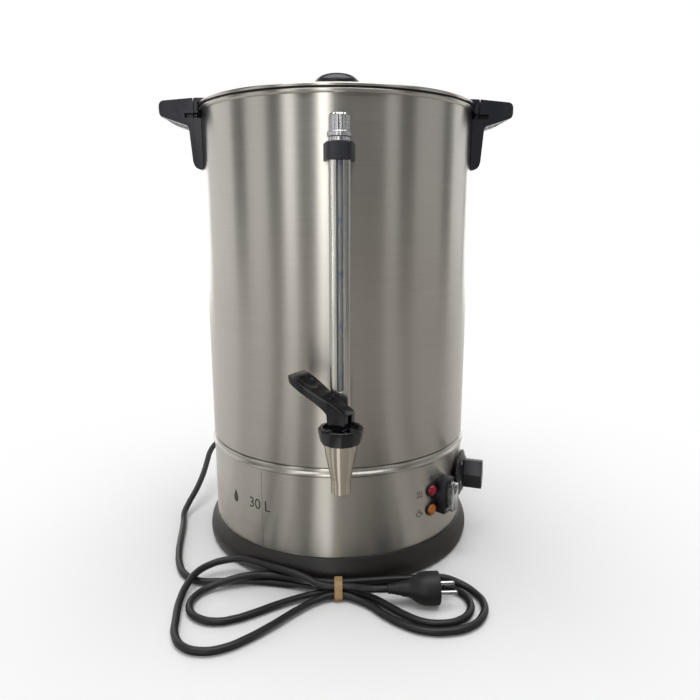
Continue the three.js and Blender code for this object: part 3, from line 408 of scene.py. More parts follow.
def carved(shape, *tools, keep="DIFFERENCE"):
    """The shape with the tools cut out of it, or kept only where it meets them, or joined to them."""
    def as_object(part):
        mesh = bpy.data.meshes.new("rough")
        part.to_mesh(mesh)
        part.free()
        rough = bpy.data.objects.new("rough", mesh)
        bpy.context.scene.collection.objects.link(rough)
        return rough

    body = as_object(shape)
    used = [as_object(tool) for tool in tools]
    for tool in used:
        step = body.modifiers.new("step", "BOOLEAN")
        step.operation = keep
        step.solver = "EXACT"
        step.object = tool
    bpy.context.view_layer.update()
    result = bmesh.new()
    result.from_object(body, bpy.context.evaluated_depsgraph_get())
    for rough in [body, *used]:
        mesh = rough.data
        bpy.data.objects.remove(rough)
        bpy.data.meshes.remove(mesh)
    bmesh.ops.remove_doubles(result, verts=result.verts, dist=0.002)
    bmesh.ops.dissolve_degenerate(result, edges=result.edges, dist=0.001)
    return result


strands = [(-204.5, 6.4), (-186.5, 6.4), (-191, 14.4), (-200, 14.4)]


def round_strands(radius):
    """The outline of a band drawn tight round the strands, in (y, z)."""
    quarters = [(180, 270), (270, 360), (0, 90), (90, 180)]
    points = []
    for (y, z), (start, end) in zip(strands, quarters):
        points += arc(y, z, radius, start, end, 6)
    return points


band = carved(prism([(-y, z) for y, z in round_strands(6.3)], -7.5, 1.5, "X"),
              prism([(-y, z) for y, z in round_strands(5.2)], -9, 3, "X"))
band_rubber = finish("band_rubber", (0.34, 0.20, 0.08), (0.50, 0.33, 0.15), 0.55, grain=900, depth=0.05)
band_piece = joins(piece("band_elastic", softened(band, 0.2, 2), band_rubber), "urn", "elastic_band", "cord_band")


# ---------------------------------------------------------------------------
# Tank: one millimetre stainless sheet, rolled and welded, brushed round its girth, with its top edge
# rolled outwards. A welded floor closes it.
# ---------------------------------------------------------------------------

tank_profile = [
    (166.5, 133), (167.5, 133), (167.5, 145), (169.2, 145.4), (170, 146.6), (170, 551.2), (171.3, 551.6),
    (172.3, 552.5), (172.8, 553.9), (172.6, 555.2), (171.8, 556.1), (170.7, 556.4), (169.6, 556.1),
    (169, 555.3), (169, 147), (166.5, 145.3),
]
tank_steel = finish("tank_steel", (0.51, 0.485, 0.44), (0.59, 0.565, 0.52), 0.32, 1.0,
                    stretch=(0.008, 0.008, 1), grain=1500, depth=0.012, cloud=5, smear=0.03, brushed=0.93)
tank = spun(tank_profile, 160)
joins(piece("tank_wall", tank, tank_steel), "urn", "brushed_steel", "tank_shell")

floor_steel = finish("floor_steel", (0.46, 0.45, 0.42), (0.58, 0.57, 0.54), 0.3, 1.0,
                     stretch=(1, 0.02, 1), grain=500, depth=0.04, cloud=6)
pan = spun([(0, 140.8), (164.9, 140.8), (164.9, 134), (166.2, 134), (166.2, 140.6), (165.6, 141.7),
            (164.6, 142), (0, 142)], 128)
joins(piece("tank_pan", pan, floor_steel), "urn", "brushed_steel", "tank_floor")


# ---------------------------------------------------------------------------
# Base shell: the same brushed sheet as the tank, with a rolled bead near its top, a bright line where
# its edge turns in under the tank, and one upright weld at its left.
# ---------------------------------------------------------------------------

shell_profile = [(169, 21.3), (170, 21.3), (170, 132.6), (170.3, 133.4)]
shell_profile += arc(169.6, 136.5, 2.6, -62, 62, 8)
shell_profile += [(170.3, 139.6), (169.7, 139.9), (169.7, 140.3), (170, 140.8), (170, 143.2), (169.7, 144),
                  (169, 144.2)]
shell = spun(shell_profile, 160)
joins(piece("base_wall", shell, tank_steel), "urn", "brushed_steel", "base_shell")


def wrapped(bm, radius, azimuth, height):
    """Bends flat artwork, drawn in (x, z) with its thickness in y, round the urn's wall."""
    centre = math.radians(azimuth)
    for vert in bm.verts:
        turn = centre + vert.co.x / radius
        out = radius - vert.co.y
        vert.co = Vector((out * math.sin(turn), -out * math.cos(turn), height + vert.co.z))
    return bm


weld = prism([(-0.35, -0.09), (0.35, -0.09), (0.35, 0), (-0.35, 0)], -49, 48)
wrapped(weld, 170, -33.5, 84)
weld_steel = finish("weld_steel", (0.20, 0.19, 0.17), (0.42, 0.40, 0.36), 0.36, 1.0, grain=420, depth=0.08)
joins(piece("base_weld", weld, weld_steel), "urn", "brushed_steel")


# ---------------------------------------------------------------------------
# Base ring: a black moulded skirt that the base shell stands in. It flares outwards to the floor.
# ---------------------------------------------------------------------------

ring_profile = [
    (170.3, 33.4), (171.4, 33.5), (172.4, 33), (174, 29.8), (175.6, 26), (177.3, 22.2), (178.6, 18.5),
    (179.3, 15.2), (179.6, 12), (179.4, 8.2), (178.8, 5), (178, 2.6), (177, 1.5), (173.5, 1.5), (175.6, 12),
    (174, 17.5), (158, 17.5), (158, 21), (170.3, 21),
]
ring_plastic = finish("ring_plastic", (0.012, 0.010, 0.009), (0.024, 0.020, 0.018), 0.42, grain=1400, depth=0.05,
                      cloud=14)
ring = spun(ring_profile, 160)
joins(piece("base_skirt", ring, ring_plastic), "urn", "brown_black_plastic", "base_ring")


# ---------------------------------------------------------------------------
# Bottom cover: a black moulded disc screwed up under the ring, with a flat boss in its middle.
# Four rubber feet and three screws are under it.
# ---------------------------------------------------------------------------

cover_profile = [
    (0, 0), (20, 0), (24, 5), (60, 5), (61, 4.2), (64, 4.2), (65, 5), (110, 5), (111, 4.2), (114, 4.2), (115, 5),
    (172.6, 5), (172.6, 7.5), (166.2, 7.5), (166.2, 17.2), (158.6, 17.2), (158.6, 7.5), (23, 7.5), (19, 2.5),
    (0, 2.5),
]
moulded_black = finish("moulded_black", (0.008, 0.009, 0.013), (0.016, 0.017, 0.024), 0.3, grain=1300, depth=0.04,
                       cloud=16)
joins(piece("bottom_plate", softened(spun(cover_profile, 96), 0.3), moulded_black), "urn", "black_plastic",
      "bottom_cover")
for number, azimuth in enumerate((45, 135, 225, 315), 1):
    foot = spun([(0, 0.9), (5, 0.9), (6, 0), (9.4, 0), (10.2, 0.6), (11, 4.7), (0, 4.7)], 36)
    moved(foot, at=(0, -146, 0), azimuth=azimuth)
    joins(piece(f"foot_pad_{number}", foot, moulded_rubber), "urn", "black_rubber", f"foot_{number}")


def dressed(node, material):
    """A CAD node that is shown as it is, in this finish."""
    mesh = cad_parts[node].data
    mesh.materials.clear()
    mesh.materials.append(material)


for number in (1, 2, 3):
    dressed(f"cover_screw_{number}", plated)


# ---------------------------------------------------------------------------
# Lid: a spun and brushed dome with a turned-over edge and a notch at each side that passes the catches.
# Between it and the tank's rim lies a black ring of painted shade, standing for the shadowed gap there.
# ---------------------------------------------------------------------------


def box(wide, deep, low, high, x=0.0, y=0.0):
    """An upright block."""
    bm = bmesh.new()
    bmesh.ops.create_cube(bm, size=1)
    bmesh.ops.scale(bm, verts=bm.verts, vec=(wide, deep, high - low))
    bmesh.ops.translate(bm, verts=bm.verts, vec=(x, y, (low + high) / 2))
    return bm


def side_notches(low, high):
    """The two tools that cut the notches for the catches."""
    return [carved(spun([(155, low), (190, low), (190, high), (155, high)], 192),
                   box(80, 94, low - 5, high + 5, side * 190), keep="INTERSECT") for side in (-1, 1)]


lid_profile = [
    (2.8, 574.5), (20, 574.3), (40, 573.7), (65, 572.3), (90, 570.1), (110, 568), (130, 565.3), (142, 563.4),
    (150.5, 561.8), (152.5, 561.5), (170.2, 561.5), (171.8, 561.3), (172.8, 560.6), (173.2, 559.6),
    (173.1, 558.6), (172.8, 557.9), (172.3, 557.9), (172, 558.4), (167, 558.4), (166, 560.4), (150.5, 560.4),
    (150.5, 548.4), (149.5, 548.4), (149.5, 560.6), (130, 564.3), (90, 569.1), (40, 572.7), (2.8, 573.5),
]
lid_steel = finish("lid_steel", (0.50, 0.475, 0.43), (0.60, 0.575, 0.53), 0.3, 1.0,
                   stretch=(0.01, 0.01, 1), grain=1500, depth=0.01, cloud=6, smear=0.03, brushed=0.8)
lid = carved(spun(lid_profile, 160), *side_notches(545, 568))
joins(piece("lid_dome", lid, lid_steel), "lid", "brushed_steel", "lid")

# Painted shade: a thin black ring fills the gap between lid and rim, where there is only shadow.
gap_shade_black = finish("gap_shade_black", (0.008, 0.008, 0.009), (0.014, 0.014, 0.015), 0.5, grain=1200, depth=0.04)
gap_shade_profile = [(151.3, 556.8), (171.2, 556.8), (171.6, 557.1), (171.6, 557.7), (171.2, 558), (151.3, 558)]
seal = carved(spun(gap_shade_profile, 160), *side_notches(550, 566))
joins(piece("lid_gap_shade", seal, gap_shade_black), "seal", "silicone", "lid_seal")

knob_profile = [
    (2.8, 575.1), (13.4, 575.1), (14, 575.6), (12.9, 577.4), (12.5, 579.1), (13.6, 580.9), (18, 583.1),
    (23.5, 584.8), (27.5, 586.8), (28.7, 588.4), (29, 590.1), (28.9, 592), (28.3, 594.1), (27.1, 596),
    (25.2, 597.7), (23, 599.4), (20.6, 600.8), (17.5, 602), (14.5, 602.8), (7, 603.5), (0, 603.7),
    (0, 590), (2.8, 590),
]
joins(piece("lid_grip", spun(knob_profile, 64), moulded_black), "lid", "black_plastic", "lid_knob")
dressed("lid_knob_screw", plated)


# ---------------------------------------------------------------------------
# Handles and lid catches: black glass-filled plastic, bolted through the tank wall from inside.
# The grip is hollow underneath, with ribs; the catch is a hooked arm that stands between grip and rim.
# ---------------------------------------------------------------------------

handle_side = [
    (150, 567.1), (175, 567.1), (209, 564), (212.6, 562.4), (214.4, 560.2), (215, 557.7), (215, 553),
    (214.7, 550.2), (213.7, 547.6), (212, 545.7), (182.4, 536), (180.2, 534.4), (179.4, 532), (176.3, 494),
    (175, 489.6), (172.8, 486.4), (169, 484.5), (150, 484.5),
]
handle_plan = [(-45, -150), (-45, -210), (-44, -212.8), (-41.4, -216), (41.4, -216), (44, -212.8), (45, -210),
               (45, -150)]
catch_side = [
    (159.4, 562.4), (174, 562.4), (174, 544.6), (178.7, 544.6), (178.7, 566.2), (177.4, 567.5),
    (161.2, 567.5), (159.4, 565.7),
]
handle_plastic = finish("handle_plastic", (0.012, 0.013, 0.021), (0.026, 0.027, 0.040), 0.34, grain=1500,
                        depth=0.05, cloud=20)
for side, azimuth in (("left", -90), ("right", 90)):
    slots = [box(44, 3.9, 520, 558, 0, -170 - out) for out in (17, 24, 31, 38)]
    joint = [box(20, 40, 544.3, 549.9, end * 46.3, -164) for end in (-1, 1)]
    grip = carved(prism(handle_side, -45, 45, "X"), prism(handle_plan, 400, 640), keep="INTERSECT")
    grip = softened(grip, 1.3, 3, over=28)
    grip = carved(grip, *slots, *joint, spun([(0, 400), (170.3, 400), (170.3, 600), (0, 600)], 192),
                  spun([(0, 544.3), (179.2, 544.3), (179.2, 600), (0, 600)], 192))
    moved(grip, azimuth=azimuth)
    joins(piece(f"grip_{side}", grip, handle_plastic), "urn", "black_plastic", f"handle_{side}")
    hook = carved(spun(catch_side, 192), box(89.6, 60, 500, 600, 0, -170), keep="INTERSECT")
    ends = [box(20, 60, 540, 550, end * 45.8, -170) for end in (-1, 1)]
    hook = softened(carved(hook, *ends), 0.6, 2, over=40)
    joins(piece(f"catch_{side}", moved(hook, azimuth=azimuth), handle_plastic), "urn", "black_plastic",
          f"lid_catch_{side}")
    for number in (1, 2):
        dressed(f"handle_screw_{side}_{number}", plated)


# ---------------------------------------------------------------------------
# Sight gauge: a clear tube behind a folded steel guard with a slot. A plastic clamp holds its top, with
# a plated collar and a fluted cap above. Blue marks and figures every five litres are on the tube.
# ---------------------------------------------------------------------------

gauge_at = (0, -183, 0)


def guard_outline(grow, back):
    """The guard's bent sheet in plan, larger or smaller by an amount."""
    half = 11.2 + grow
    front = -8.7 - grow
    corner = 3.4 + grow
    return [(-half, back), *arc(-half + corner, front + corner, corner, 180, 270, 6),
            *arc(half - corner, front + corner, corner, 270, 360, 6), (half, back)]


guard = carved(
    prism(guard_outline(0, 11), 213, 497.5),
    prism(guard_outline(-1, 16), 200, 510),
    box(7, 8, 245, 491.5, 0, -8.7),
    moved(spun([(0, 5), (3.5, 5), (3.5, 15), (0, 15)], 32), at=(0, 0, 245), outwards=True),
)
guard_steel = finish("guard_steel", (0.52, 0.50, 0.46), (0.62, 0.60, 0.56), 0.25, 1.0,
                     stretch=(1, 1, 0.012), grain=900, depth=0.03, cloud=8, smear=0.05)
joins(piece("gauge_channel", moved(softened(guard, 0.2, 1, over=50), at=gauge_at), guard_steel), "urn", "brushed_steel",
      "gauge_guard")

tube = spun([(4, 200.3), (5.5, 200.3), (5.5, 514.5), (4, 514.5)], 40)
tube_clear, tube_nodes, tube_links, tube_shader = nodes_of("tube_clear", 0.04)
tube_shader.inputs["Base Color"].default_value = (0.86, 0.90, 0.92, 1)
tube_shader.inputs["Transmission Weight"].default_value = 0.72
tube_shader.inputs["IOR"].default_value = 1.45
tube_place = tube_nodes.new("ShaderNodeTexCoord")
tube_haze = tube_nodes.new("ShaderNodeTexNoise")
tube_haze.inputs["Scale"].default_value = 60
tube_spread = tube_nodes.new("ShaderNodeMapRange")
tube_spread.inputs["To Min"].default_value = 0.03
tube_spread.inputs["To Max"].default_value = 0.16
tube_links.new(tube_place.outputs["Object"], tube_haze.inputs["Vector"])
tube_links.new(tube_haze.outputs["Fac"], tube_spread.inputs["Value"])
tube_links.new(tube_spread.outputs["Result"], tube_shader.inputs["Roughness"])
joins(piece("sight_tube", moved(tube, at=gauge_at), tube_clear), "urn", "clear_tube", "gauge_tube")


def lettering(text, size, depth=0.12):
    """Figures in the (x, z) plane, centred, with a little thickness, in millimetres."""
    drawn = bpy.data.curves.new("figures", "FONT")
    drawn.body = text
    drawn.size = size
    drawn.align_x = "CENTER"
    drawn.align_y = "CENTER"
    drawn.extrude = depth / 2
    drawn.resolution_u = 4
    sign = bpy.data.objects.new("figures", drawn)
    bpy.context.scene.collection.objects.link(sign)
    bpy.context.view_layer.update()
    flat = sign.to_mesh()
    bm = bmesh.new()
    bm.from_mesh(flat)
    sign.to_mesh_clear()
    bpy.data.objects.remove(sign)
    bpy.data.curves.remove(drawn)
    bmesh.ops.rotate(bm, verts=bm.verts, matrix=Matrix.Rotation(math.pi / 2, 3, "X"))
    return bm


def gathered(shapes):
    """Several shapes as one mesh."""
    whole = bmesh.new()
    for shape in shapes:
        mesh = bpy.data.meshes.new("part")
        shape.to_mesh(mesh)
        shape.free()
        whole.from_mesh(mesh)
        bpy.data.meshes.remove(mesh)
    return whole


marks = []
for litres in (10, 15, 20, 25, 30):
    level = 142 + 11.14 * litres
    bar = box(4.6, 0.15, -0.65, 0.65)
    marks.append(wrapped(bar, 5.6, 0, level))
    marks.append(wrapped(lettering(str(litres), 4.6), 5.6, 0, level + 4))
mark_ink = finish("mark_ink", (0.02, 0.07, 0.36), (0.04, 0.12, 0.52), 0.4, grain=900, depth=0.01)
joins(piece("gauge_marks", moved(gathered(marks), at=gauge_at), mark_ink), "urn", "clear_tube")

clamp_plan = [(-17, 17), (-16, 9), (-14, -4), (-13.3, -7), (-12, -9.4), (-10, -10.8), (-8, -11), (8, -11),
              (10, -10.8), (12, -9.4), (13.3, -7), (14, -4), (16, 9), (17, 17)]
clamp = softened(prism(clamp_plan, 483.5, 501.5), 1.0, 3)
clamp = carved(
    clamp,
    prism([(-11.5, 12), *guard_outline(0.3, 11), (11.5, 12)], 470, 497.8),
    spun([(0, 470), (5.9, 470), (5.9, 510), (0, 510)], 40),
    moved(spun([(0, 470), (170.3, 470), (170.3, 510), (0, 510)], 192), at=(0, 183, 0)),
)
joins(piece("gauge_saddle", moved(clamp, at=gauge_at), handle_plastic), "urn", "black_plastic", "gauge_clamp")

collar = softened(spun([(5.8, 501.8), (11.3, 501.8), (11.3, 506.1), (5.8, 506.1)], 64), 0.5, 2)
bright_plate = finish("bright_plate", (0.58, 0.58, 0.59), (0.68, 0.68, 0.69), 0.27, 1.0, grain=500, depth=0.015)
joins(piece("gauge_ferrule", moved(collar, at=gauge_at), bright_plate), "urn", "polished_steel", "gauge_collar")

cap_profile = [(5.9, 506.4), (12, 506.4), (12.6, 507), (12.6, 510.9), (12, 511.5), (11.3, 511.8), (11.2, 513),
               (10.9, 526), (10.5, 527.6), (9.4, 528.8), (7.4, 529.1), (0, 529.1), (0, 516.5), (5.9, 516.5)]
cap = spun(cap_profile, 160)
for vert in cap.verts:
    reach = math.hypot(vert.co.x, vert.co.y)
    turn = math.atan2(vert.co.y, vert.co.x)
    if reach > 9 and 512 < vert.co.z < 528.9:
        flute = 1 - 0.06 * (0.5 + 0.5 * math.cos(12 * turn)) ** 2
    elif reach > 11.5 and vert.co.z < 511.2:
        flute = 1 - 0.022 * (0.5 + 0.5 * math.cos(32 * turn))
    else:
        flute = 1
    vert.co.x *= flute
    vert.co.y *= flute
joins(piece("gauge_top", moved(cap, at=gauge_at), bright_plate), "gauge_cap", "polished_steel", "gauge_cap")
white_rubber = finish("white_rubber", (0.60, 0.59, 0.55), (0.74, 0.73, 0.69), 0.5, grain=900, depth=0.03)
dressed("gauge_seal", white_rubber)


# ---------------------------------------------------------------------------
# Tap: a cast and polished body on a threaded shank, a black faceted bonnet screwed onto it, and a black
# lever that lifts a silicone seat cup against a spring.
# ---------------------------------------------------------------------------

tap_at = (0, -218, 0)
cast_steel = finish("cast_steel", (0.52, 0.475, 0.41), (0.58, 0.535, 0.47), 0.16, 1.0, stretch=(1, 1, 0.05), grain=300,
                    depth=0.006, cloud=20, smear=0.03)
spout_profile = [
    (18.2, 194), (17.7, 189.7), (16.4, 181.5), (14, 168), (11.1, 154.4), (10.75, 151.5), (10.6, 137.9), (10, 137.3),
    (9.1, 137.3), (8.6, 138), (8.6, 174), (11.8, 174), (13.2, 178), (14.6, 190), (14.6, 202), (17, 202),
    (17, 194),
]
joins(piece("tap_body", moved(spun(spout_profile, 72), at=tap_at), cast_steel), "urn", "cast_steel", "tap_spout")

neck = moved(spun([(0, 150), (7.5, 150), (7.5, 170.2), (13.4, 170.3), (14, 171), (14, 173.4), (13.2, 174),
                   (8.4, 174.1), (8, 176), (8, 205.5), (0, 205.5)], 48), outwards=True, at=(0, 0, 180))
boss = moved(spun([(0, 176), (8.2, 176), (9.6, 179), (9.6, 211), (9, 212), (0, 212)], 48), at=gauge_at)
shank = carved(neck, boss, keep="UNION")
shank = carved(
    shank,
    moved(spun([(0, 140), (4.2, 140), (4.2, 210), (0, 210)], 32), outwards=True, at=(0, 0, 180)),
    moved(spun([(0, 180), (4, 180), (4, 200), (8.3, 200), (8.3, 214), (0, 214)], 40), at=gauge_at),
)
joins(piece("tap_neck", shank, cast_steel), "urn", "cast_steel", "tap_shank")
dressed("tap_nut", plated)
dressed("tap_washer", white_rubber)
dressed("tap_seat_cup", white_rubber)
dressed("tap_spring", plated)
dressed("tap_stem", bright_plate)
dressed("tap_lever_pin", bright_plate)

gloss_black = finish("gloss_black", (0.004, 0.004, 0.006), (0.008, 0.008, 0.011), 0.16, grain=700, depth=0.015,
                     cloud=30, smear=0.04)
bonnet = spun([(0, 194.3), (20.6, 194.3), (21.4, 195), (22.4, 198), (24, 206), (24.2, 209), (23.9, 210.4),
               (22.8, 211.2), (0, 211.2)], 12)
bonnet = softened(bonnet, 0.5, 3, over=24)
bonnet = carved(
    bonnet,
    spun([(0, 188), (17.3, 188), (17.3, 202.3), (0, 202.3)], 48),
    spun([(0, 206.5), (17.2, 206.5), (18.4, 207.2), (18.8, 208.4), (19.5, 212), (0, 212)], 64),
    spun([(0, 200), (4.5, 200), (4.5, 208), (0, 208)], 32),
)
joins(piece("tap_cap", moved(bonnet, at=tap_at), gloss_black), "urn", "gloss_black", "tap_bonnet")

pin_height = 218.5
slope = math.tan(math.radians(27.7))
heel_top = pin_height + 9.5


def arm_top(out):
    """Height of the lever's upper face at a distance out from the pin."""
    return heel_top + (out + 11) * slope


lever_side = [
    *arc(0, pin_height, 11, 180, 345, 14), (11.6, 225.4), (17, 230.6), (24, 235.8), (40, 245.6), (51, 252),
    (55, 254.8), (57, arm_top(57) - 4), (57, arm_top(57) - 1.2), (56.4, arm_top(56.4) - 0.3), (55, arm_top(55)),
    (0, arm_top(0)), (-9.4, arm_top(-9.4)), (-11, heel_top - 1.6),
]
lever_plan = [(-10.35, 12), (-10.35, -9), (-10.9, -14), (-12.4, -22), (-14.8, -34), (-15.9, -42), (-16, -50),
              (-15.4, -55.4), (-13.9, -57.6), (13.9, -57.6), (15.4, -55.4), (16, -50), (15.9, -42), (14.8, -34),
              (12.4, -22), (10.9, -14), (10.35, -9), (10.35, 12)]
lever = carved(prism(lever_side, -20, 20, "X"), prism(lever_plan, 190, 300), keep="INTERSECT")
lever = softened(lever, 0.9, 3, over=30)
along = math.radians(27.7)


def on_arm(bm, out):
    """Sets a tool on the lever's sloping upper face."""
    bmesh.ops.rotate(bm, verts=bm.verts, matrix=Matrix.Rotation(-along, 3, "X"))
    bmesh.ops.translate(bm, verts=bm.verts, vec=(0, -out, arm_top(out)))
    return bm


lever = carved(
    lever,
    box(7.8, 20.2, 206, 225.7, 0, 1.8),
    on_arm(spun([(0, -1.5), (8.6, -1.5), (10, -0.9), (10.6, 0.2), (10.6, 3), (0, 3)], 48), 40),
    on_arm(spun([(3.6, -0.6), (4.6, -0.6), (4.6, 3), (3.6, 3)], 32), 18),
)
moved(lever, turn=-123, at=tap_at)
joins(piece("tap_paddle", lever, gloss_black), "tap_lever", "gloss_black", "tap_lever")


# ---------------------------------------------------------------------------
# Lamps: a red and an amber lens in black bezels, for heating and for keeping warm. Plain pictures stand
# beside them on the shell, and a drop with the capacity in litres is printed on its left.
# ---------------------------------------------------------------------------

lens_profile = [(0, 155), (5, 155), (5, 170.5), (7.1, 170.5), (7.1, 172.2), (6.6, 173.6), (5.5, 174.9), (3.9, 175.8),
                (2, 176.3), (0, 176.4)]
bezel_profile = [(7.2, 170.5), (8.2, 170.5), (8.3, 171.4), (7.9, 172.3), (7.4, 172.4), (7.2, 172)]
red_glass = finish("red_glass", (0.20, 0.004, 0.012), (0.34, 0.012, 0.030), 0.12, grain=120, depth=0.02, cloud=60)
amber_glass = finish("amber_glass", (0.34, 0.085, 0.004), (0.52, 0.16, 0.010), 0.12, grain=120, depth=0.02, cloud=60)
for name, node, height, glass, slot in (
        ("heating", "heating_lamp", 98.2, red_glass, "red_lens"),
        ("warming", "keep_warm_lamp", 73.3, amber_glass, "amber_lens")):
    lens = moved(spun(lens_profile, 40), outwards=True, at=(0, 0, height), azimuth=41.3)
    joins(piece(f"{name}_lens", lens, glass), "urn", slot, node)
    bezel = moved(spun(bezel_profile, 40), outwards=True, at=(0, 0, height), azimuth=41.3)
    joins(piece(f"{name}_bezel", bezel, moulded_black), "urn", "black_plastic")


def stroke(points, wide=0.7):
    """A printed line through points in (x, z)."""
    left, right = [], []
    for index, (x, z) in enumerate(points):
        before = Vector(points[max(index - 1, 0)])
        after = Vector(points[min(index + 1, len(points) - 1)])
        across = (after - before).normalized().orthogonal() * wide / 2
        left.append((x + across.x, z + across.y))
        right.append((x - across.x, z - across.y))
    shape = prism(left + right[::-1], 0, 0.1)
    bmesh.ops.rotate(shape, verts=shape.verts, matrix=Matrix.Rotation(math.pi / 2, 3, "X"))
    return shape


def wave(x, low, high):
    """A rising wisp of heat."""
    steps = 12
    return [(x + 0.9 * math.sin(math.tau * step / steps), low + (high - low) * step / steps)
            for step in range(steps + 1)]


heat_picture = [stroke(wave(x, -2.2, 4.2)) for x in (-3.2, 0, 3.2)] + [stroke([(-5, -3.6), (5, -3.6)], 0.9)]
cup_picture = [
    stroke([(-4, 1), (-4, -2.4), (-3, -3.8), (2, -3.8), (3, -2.4), (3, 1), (-4, 1)], 0.8),
    stroke([(3, 0.2), (5, 0.2), (5.2, -1.6), (3, -2.4)], 0.7),
    stroke(wave(-2, 2, 5), 0.6), stroke(wave(1, 2, 5), 0.6),
]
drop = [(5.4 * math.sin(math.pi * t / 24) * math.sin(math.pi * t / 48), 8.2 * math.cos(math.pi * t / 24))
        for t in range(25)]
drop_shape = prism(drop + [(-x, z) for x, z in drop[-2:0:-1]], 0, 0.1)
bmesh.ops.rotate(drop_shape, verts=drop_shape.verts, matrix=Matrix.Rotation(math.pi / 2, 3, "X"))
print_ink = finish("print_ink", (0.020, 0.020, 0.024), (0.035, 0.035, 0.040), 0.45, grain=900, depth=0.01)
printing = gathered([
    *(wrapped(shape, 170.06, 34.6, 98.2) for shape in heat_picture),
    *(wrapped(shape, 170.06, 34.6, 73.3) for shape in cup_picture),
    wrapped(drop_shape, 170.06, -49.5, 87),
    wrapped(lettering("30 L", 19), 170.06, -35, 87),
])
joins(piece("shell_printing", printing, print_ink), "urn", "brushed_steel")


# ---------------------------------------------------------------------------
# Rocker switch: a black box let into the shell, a rocker that rests tilted to off, and a clear soft cover
# over it that keeps water out.
# ---------------------------------------------------------------------------


def slab(wide, half, near, far, height=0.0):
    """A block from one distance outwards to another, given its width and half its height."""
    return box(wide, far - near, height - half, height + half, 0, -(near + far) / 2)


switch_azimuth = 48
housing = softened(slab(20.5, 22.25, 164, 183), 1.5, 3)
housing = carved(housing, spun([(0, -60), (170.3, -60), (170.3, 60), (0, 60)], 192))
housing = carved(housing, slab(12.4, 15.4, 152, 176), keep="UNION")
housing = carved(housing, slab(10.6, 15.6, 171, 190))
joins(piece("switch_box", moved(housing, at=(0, 0, 88.2), azimuth=switch_azimuth), moulded_black), "urn",
      "black_plastic", "switch_housing")
rocker = prism([(-3.5, -10), (9.4, -14), (10, -13.4), (8.9, -6), (8.5, 0), (8.9, 6), (10, 13.4), (9.4, 14),
                (-3.5, 10)], -4.8, 4.8, "X")
softened(rocker, 0.4, 2)
bmesh.ops.rotate(rocker, verts=rocker.verts, matrix=Matrix.Rotation(math.radians(8), 3, "X"))
joins(piece("switch_key", moved(rocker, at=(0, -177, 88.2), azimuth=switch_azimuth), gloss_black), "rocker",
      "gloss_black", "switch_rocker")
clear_cover = softened(slab(13.6, 17.2, 183.3, 192.6), 1.2, 3)
clear_cover = carved(clear_cover, softened(slab(12, 16.4, 176, 191.8), 0.8, 2))
cover_clear, cover_nodes, cover_links, cover_shader = nodes_of("cover_clear", 0.12)
cover_shader.inputs["Base Color"].default_value = (0.93, 0.95, 0.96, 1)
cover_shader.inputs["Transmission Weight"].default_value = 0.98
cover_shader.inputs["IOR"].default_value = 1.41
cover_place = cover_nodes.new("ShaderNodeTexCoord")
cover_haze = cover_nodes.new("ShaderNodeTexNoise")
cover_haze.inputs["Scale"].default_value = 180
cover_spread = cover_nodes.new("ShaderNodeMapRange")
cover_spread.inputs["To Min"].default_value = 0.015
cover_spread.inputs["To Max"].default_value = 0.06
cover_links.new(cover_place.outputs["Object"], cover_haze.inputs["Vector"])
cover_links.new(cover_haze.outputs["Fac"], cover_spread.inputs["Value"])
cover_links.new(cover_spread.outputs["Result"], cover_shader.inputs["Roughness"])
joins(piece("switch_cover", moved(clear_cover, at=(0, 0, 88.2), azimuth=switch_azimuth), cover_clear), "urn",
      "clear_cover", "splash_cover")


# ---------------------------------------------------------------------------
# Thermostat knob: a moulded dial with a dished skirt and a bar grip, pushed onto the steel shaft of the
# thermostat. White dots and figures on the skirt give the setting, and a line marks the pointer.
# ---------------------------------------------------------------------------

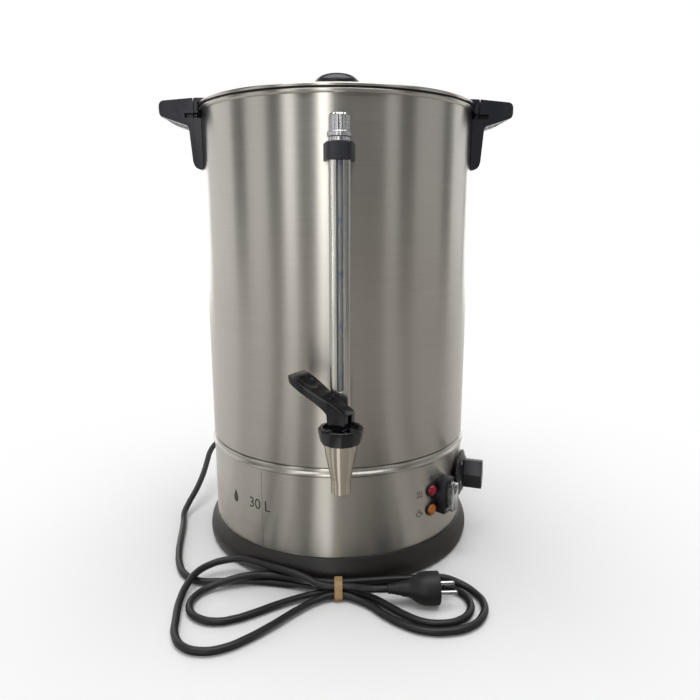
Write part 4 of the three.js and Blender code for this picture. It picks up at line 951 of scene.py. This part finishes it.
dial_azimuth = 69
skirt = spun([(0, 171.5), (27, 171.5), (29.3, 171.7), (30, 172.6), (30, 173.9), (29.6, 174.6), (28.4, 175.2),
              (25, 176.2), (21, 178.5), (16, 179.6), (0, 180)], 96)
grip_plan = [(-4, 19), (-10, 0.8), (-10, -0.8), (-4, -19), (4, -19), (10, -0.8), (10, 0.8), (4, 19)]
bar = softened(prism(grip_plan, 174, 202), 1.1, 3, over=15)
dial = carved(carved(skirt, bar, keep="UNION"), spun([(0, 165), (3.3, 165), (3.3, 193), (0, 193)], 24))
joins(piece("dial_knob", moved(dial, outwards=True, at=(0, 0, 94.5), azimuth=dial_azimuth), moulded_black),
      "dial", "black_plastic", "thermostat_knob")
dial_marks = []
for step in range(9):
    lean = math.radians(40 + 32 * step)
    dot = moved(spun([(0, 175.2), (0.55, 175.2), (0.55, 175.75), (0, 175.75)], 12),
                at=(-26.5 * math.sin(lean), 26.5 * math.cos(lean), 0))
    dial_marks.append(dot)
    if step % 2 == 0:
        figure = lettering(str(30 + 10 * step), 4.2, 0.5)
        bmesh.ops.rotate(figure, verts=figure.verts, matrix=Matrix.Rotation(-math.pi / 2, 3, "X"))
        bmesh.ops.rotate(figure, verts=figure.verts, matrix=Matrix.Rotation(lean, 3, "Z"))
        dial_marks.append(moved(figure, at=(-22.6 * math.sin(lean), 22.6 * math.cos(lean), 177.7)))
pointer = moved(box(1.3, 8, 201.9, 202.02), at=(0, 12.4, 0))
dial_marks.append(pointer)
white_ink = finish("white_ink", (0.72, 0.72, 0.70), (0.86, 0.86, 0.84), 0.4, grain=900, depth=0.01)
joins(piece("dial_marks", moved(gathered(dial_marks), outwards=True, at=(0, 0, 94.5), azimuth=dial_azimuth),
            white_ink), "dial", "black_plastic")
dressed("thermostat_shaft", plated)


# ---------------------------------------------------------------------------
# Heating, under the tank: two metal-sheathed elements on an aluminium plate, the thermostat and its bulb,
# an overheat cut-out and the block that the lead is wired to. The bottom cover hides them.
# ---------------------------------------------------------------------------

cast_aluminium = finish("cast_aluminium", (0.46, 0.47, 0.49), (0.60, 0.61, 0.63), 0.42, 1.0, grain=300, depth=0.06)
glazed = finish("glazed", (0.66, 0.63, 0.56), (0.80, 0.77, 0.70), 0.35, grain=260, depth=0.03)
dressed("heat_spreader", cast_aluminium)
dressed("heating_element", cast_steel)
dressed("warming_element", cast_steel)
dressed("thermostat_bulb", bright_plate)
dressed("thermal_cutout", glazed)
dressed("thermostat", glazed)
dressed("terminal_block", glazed)
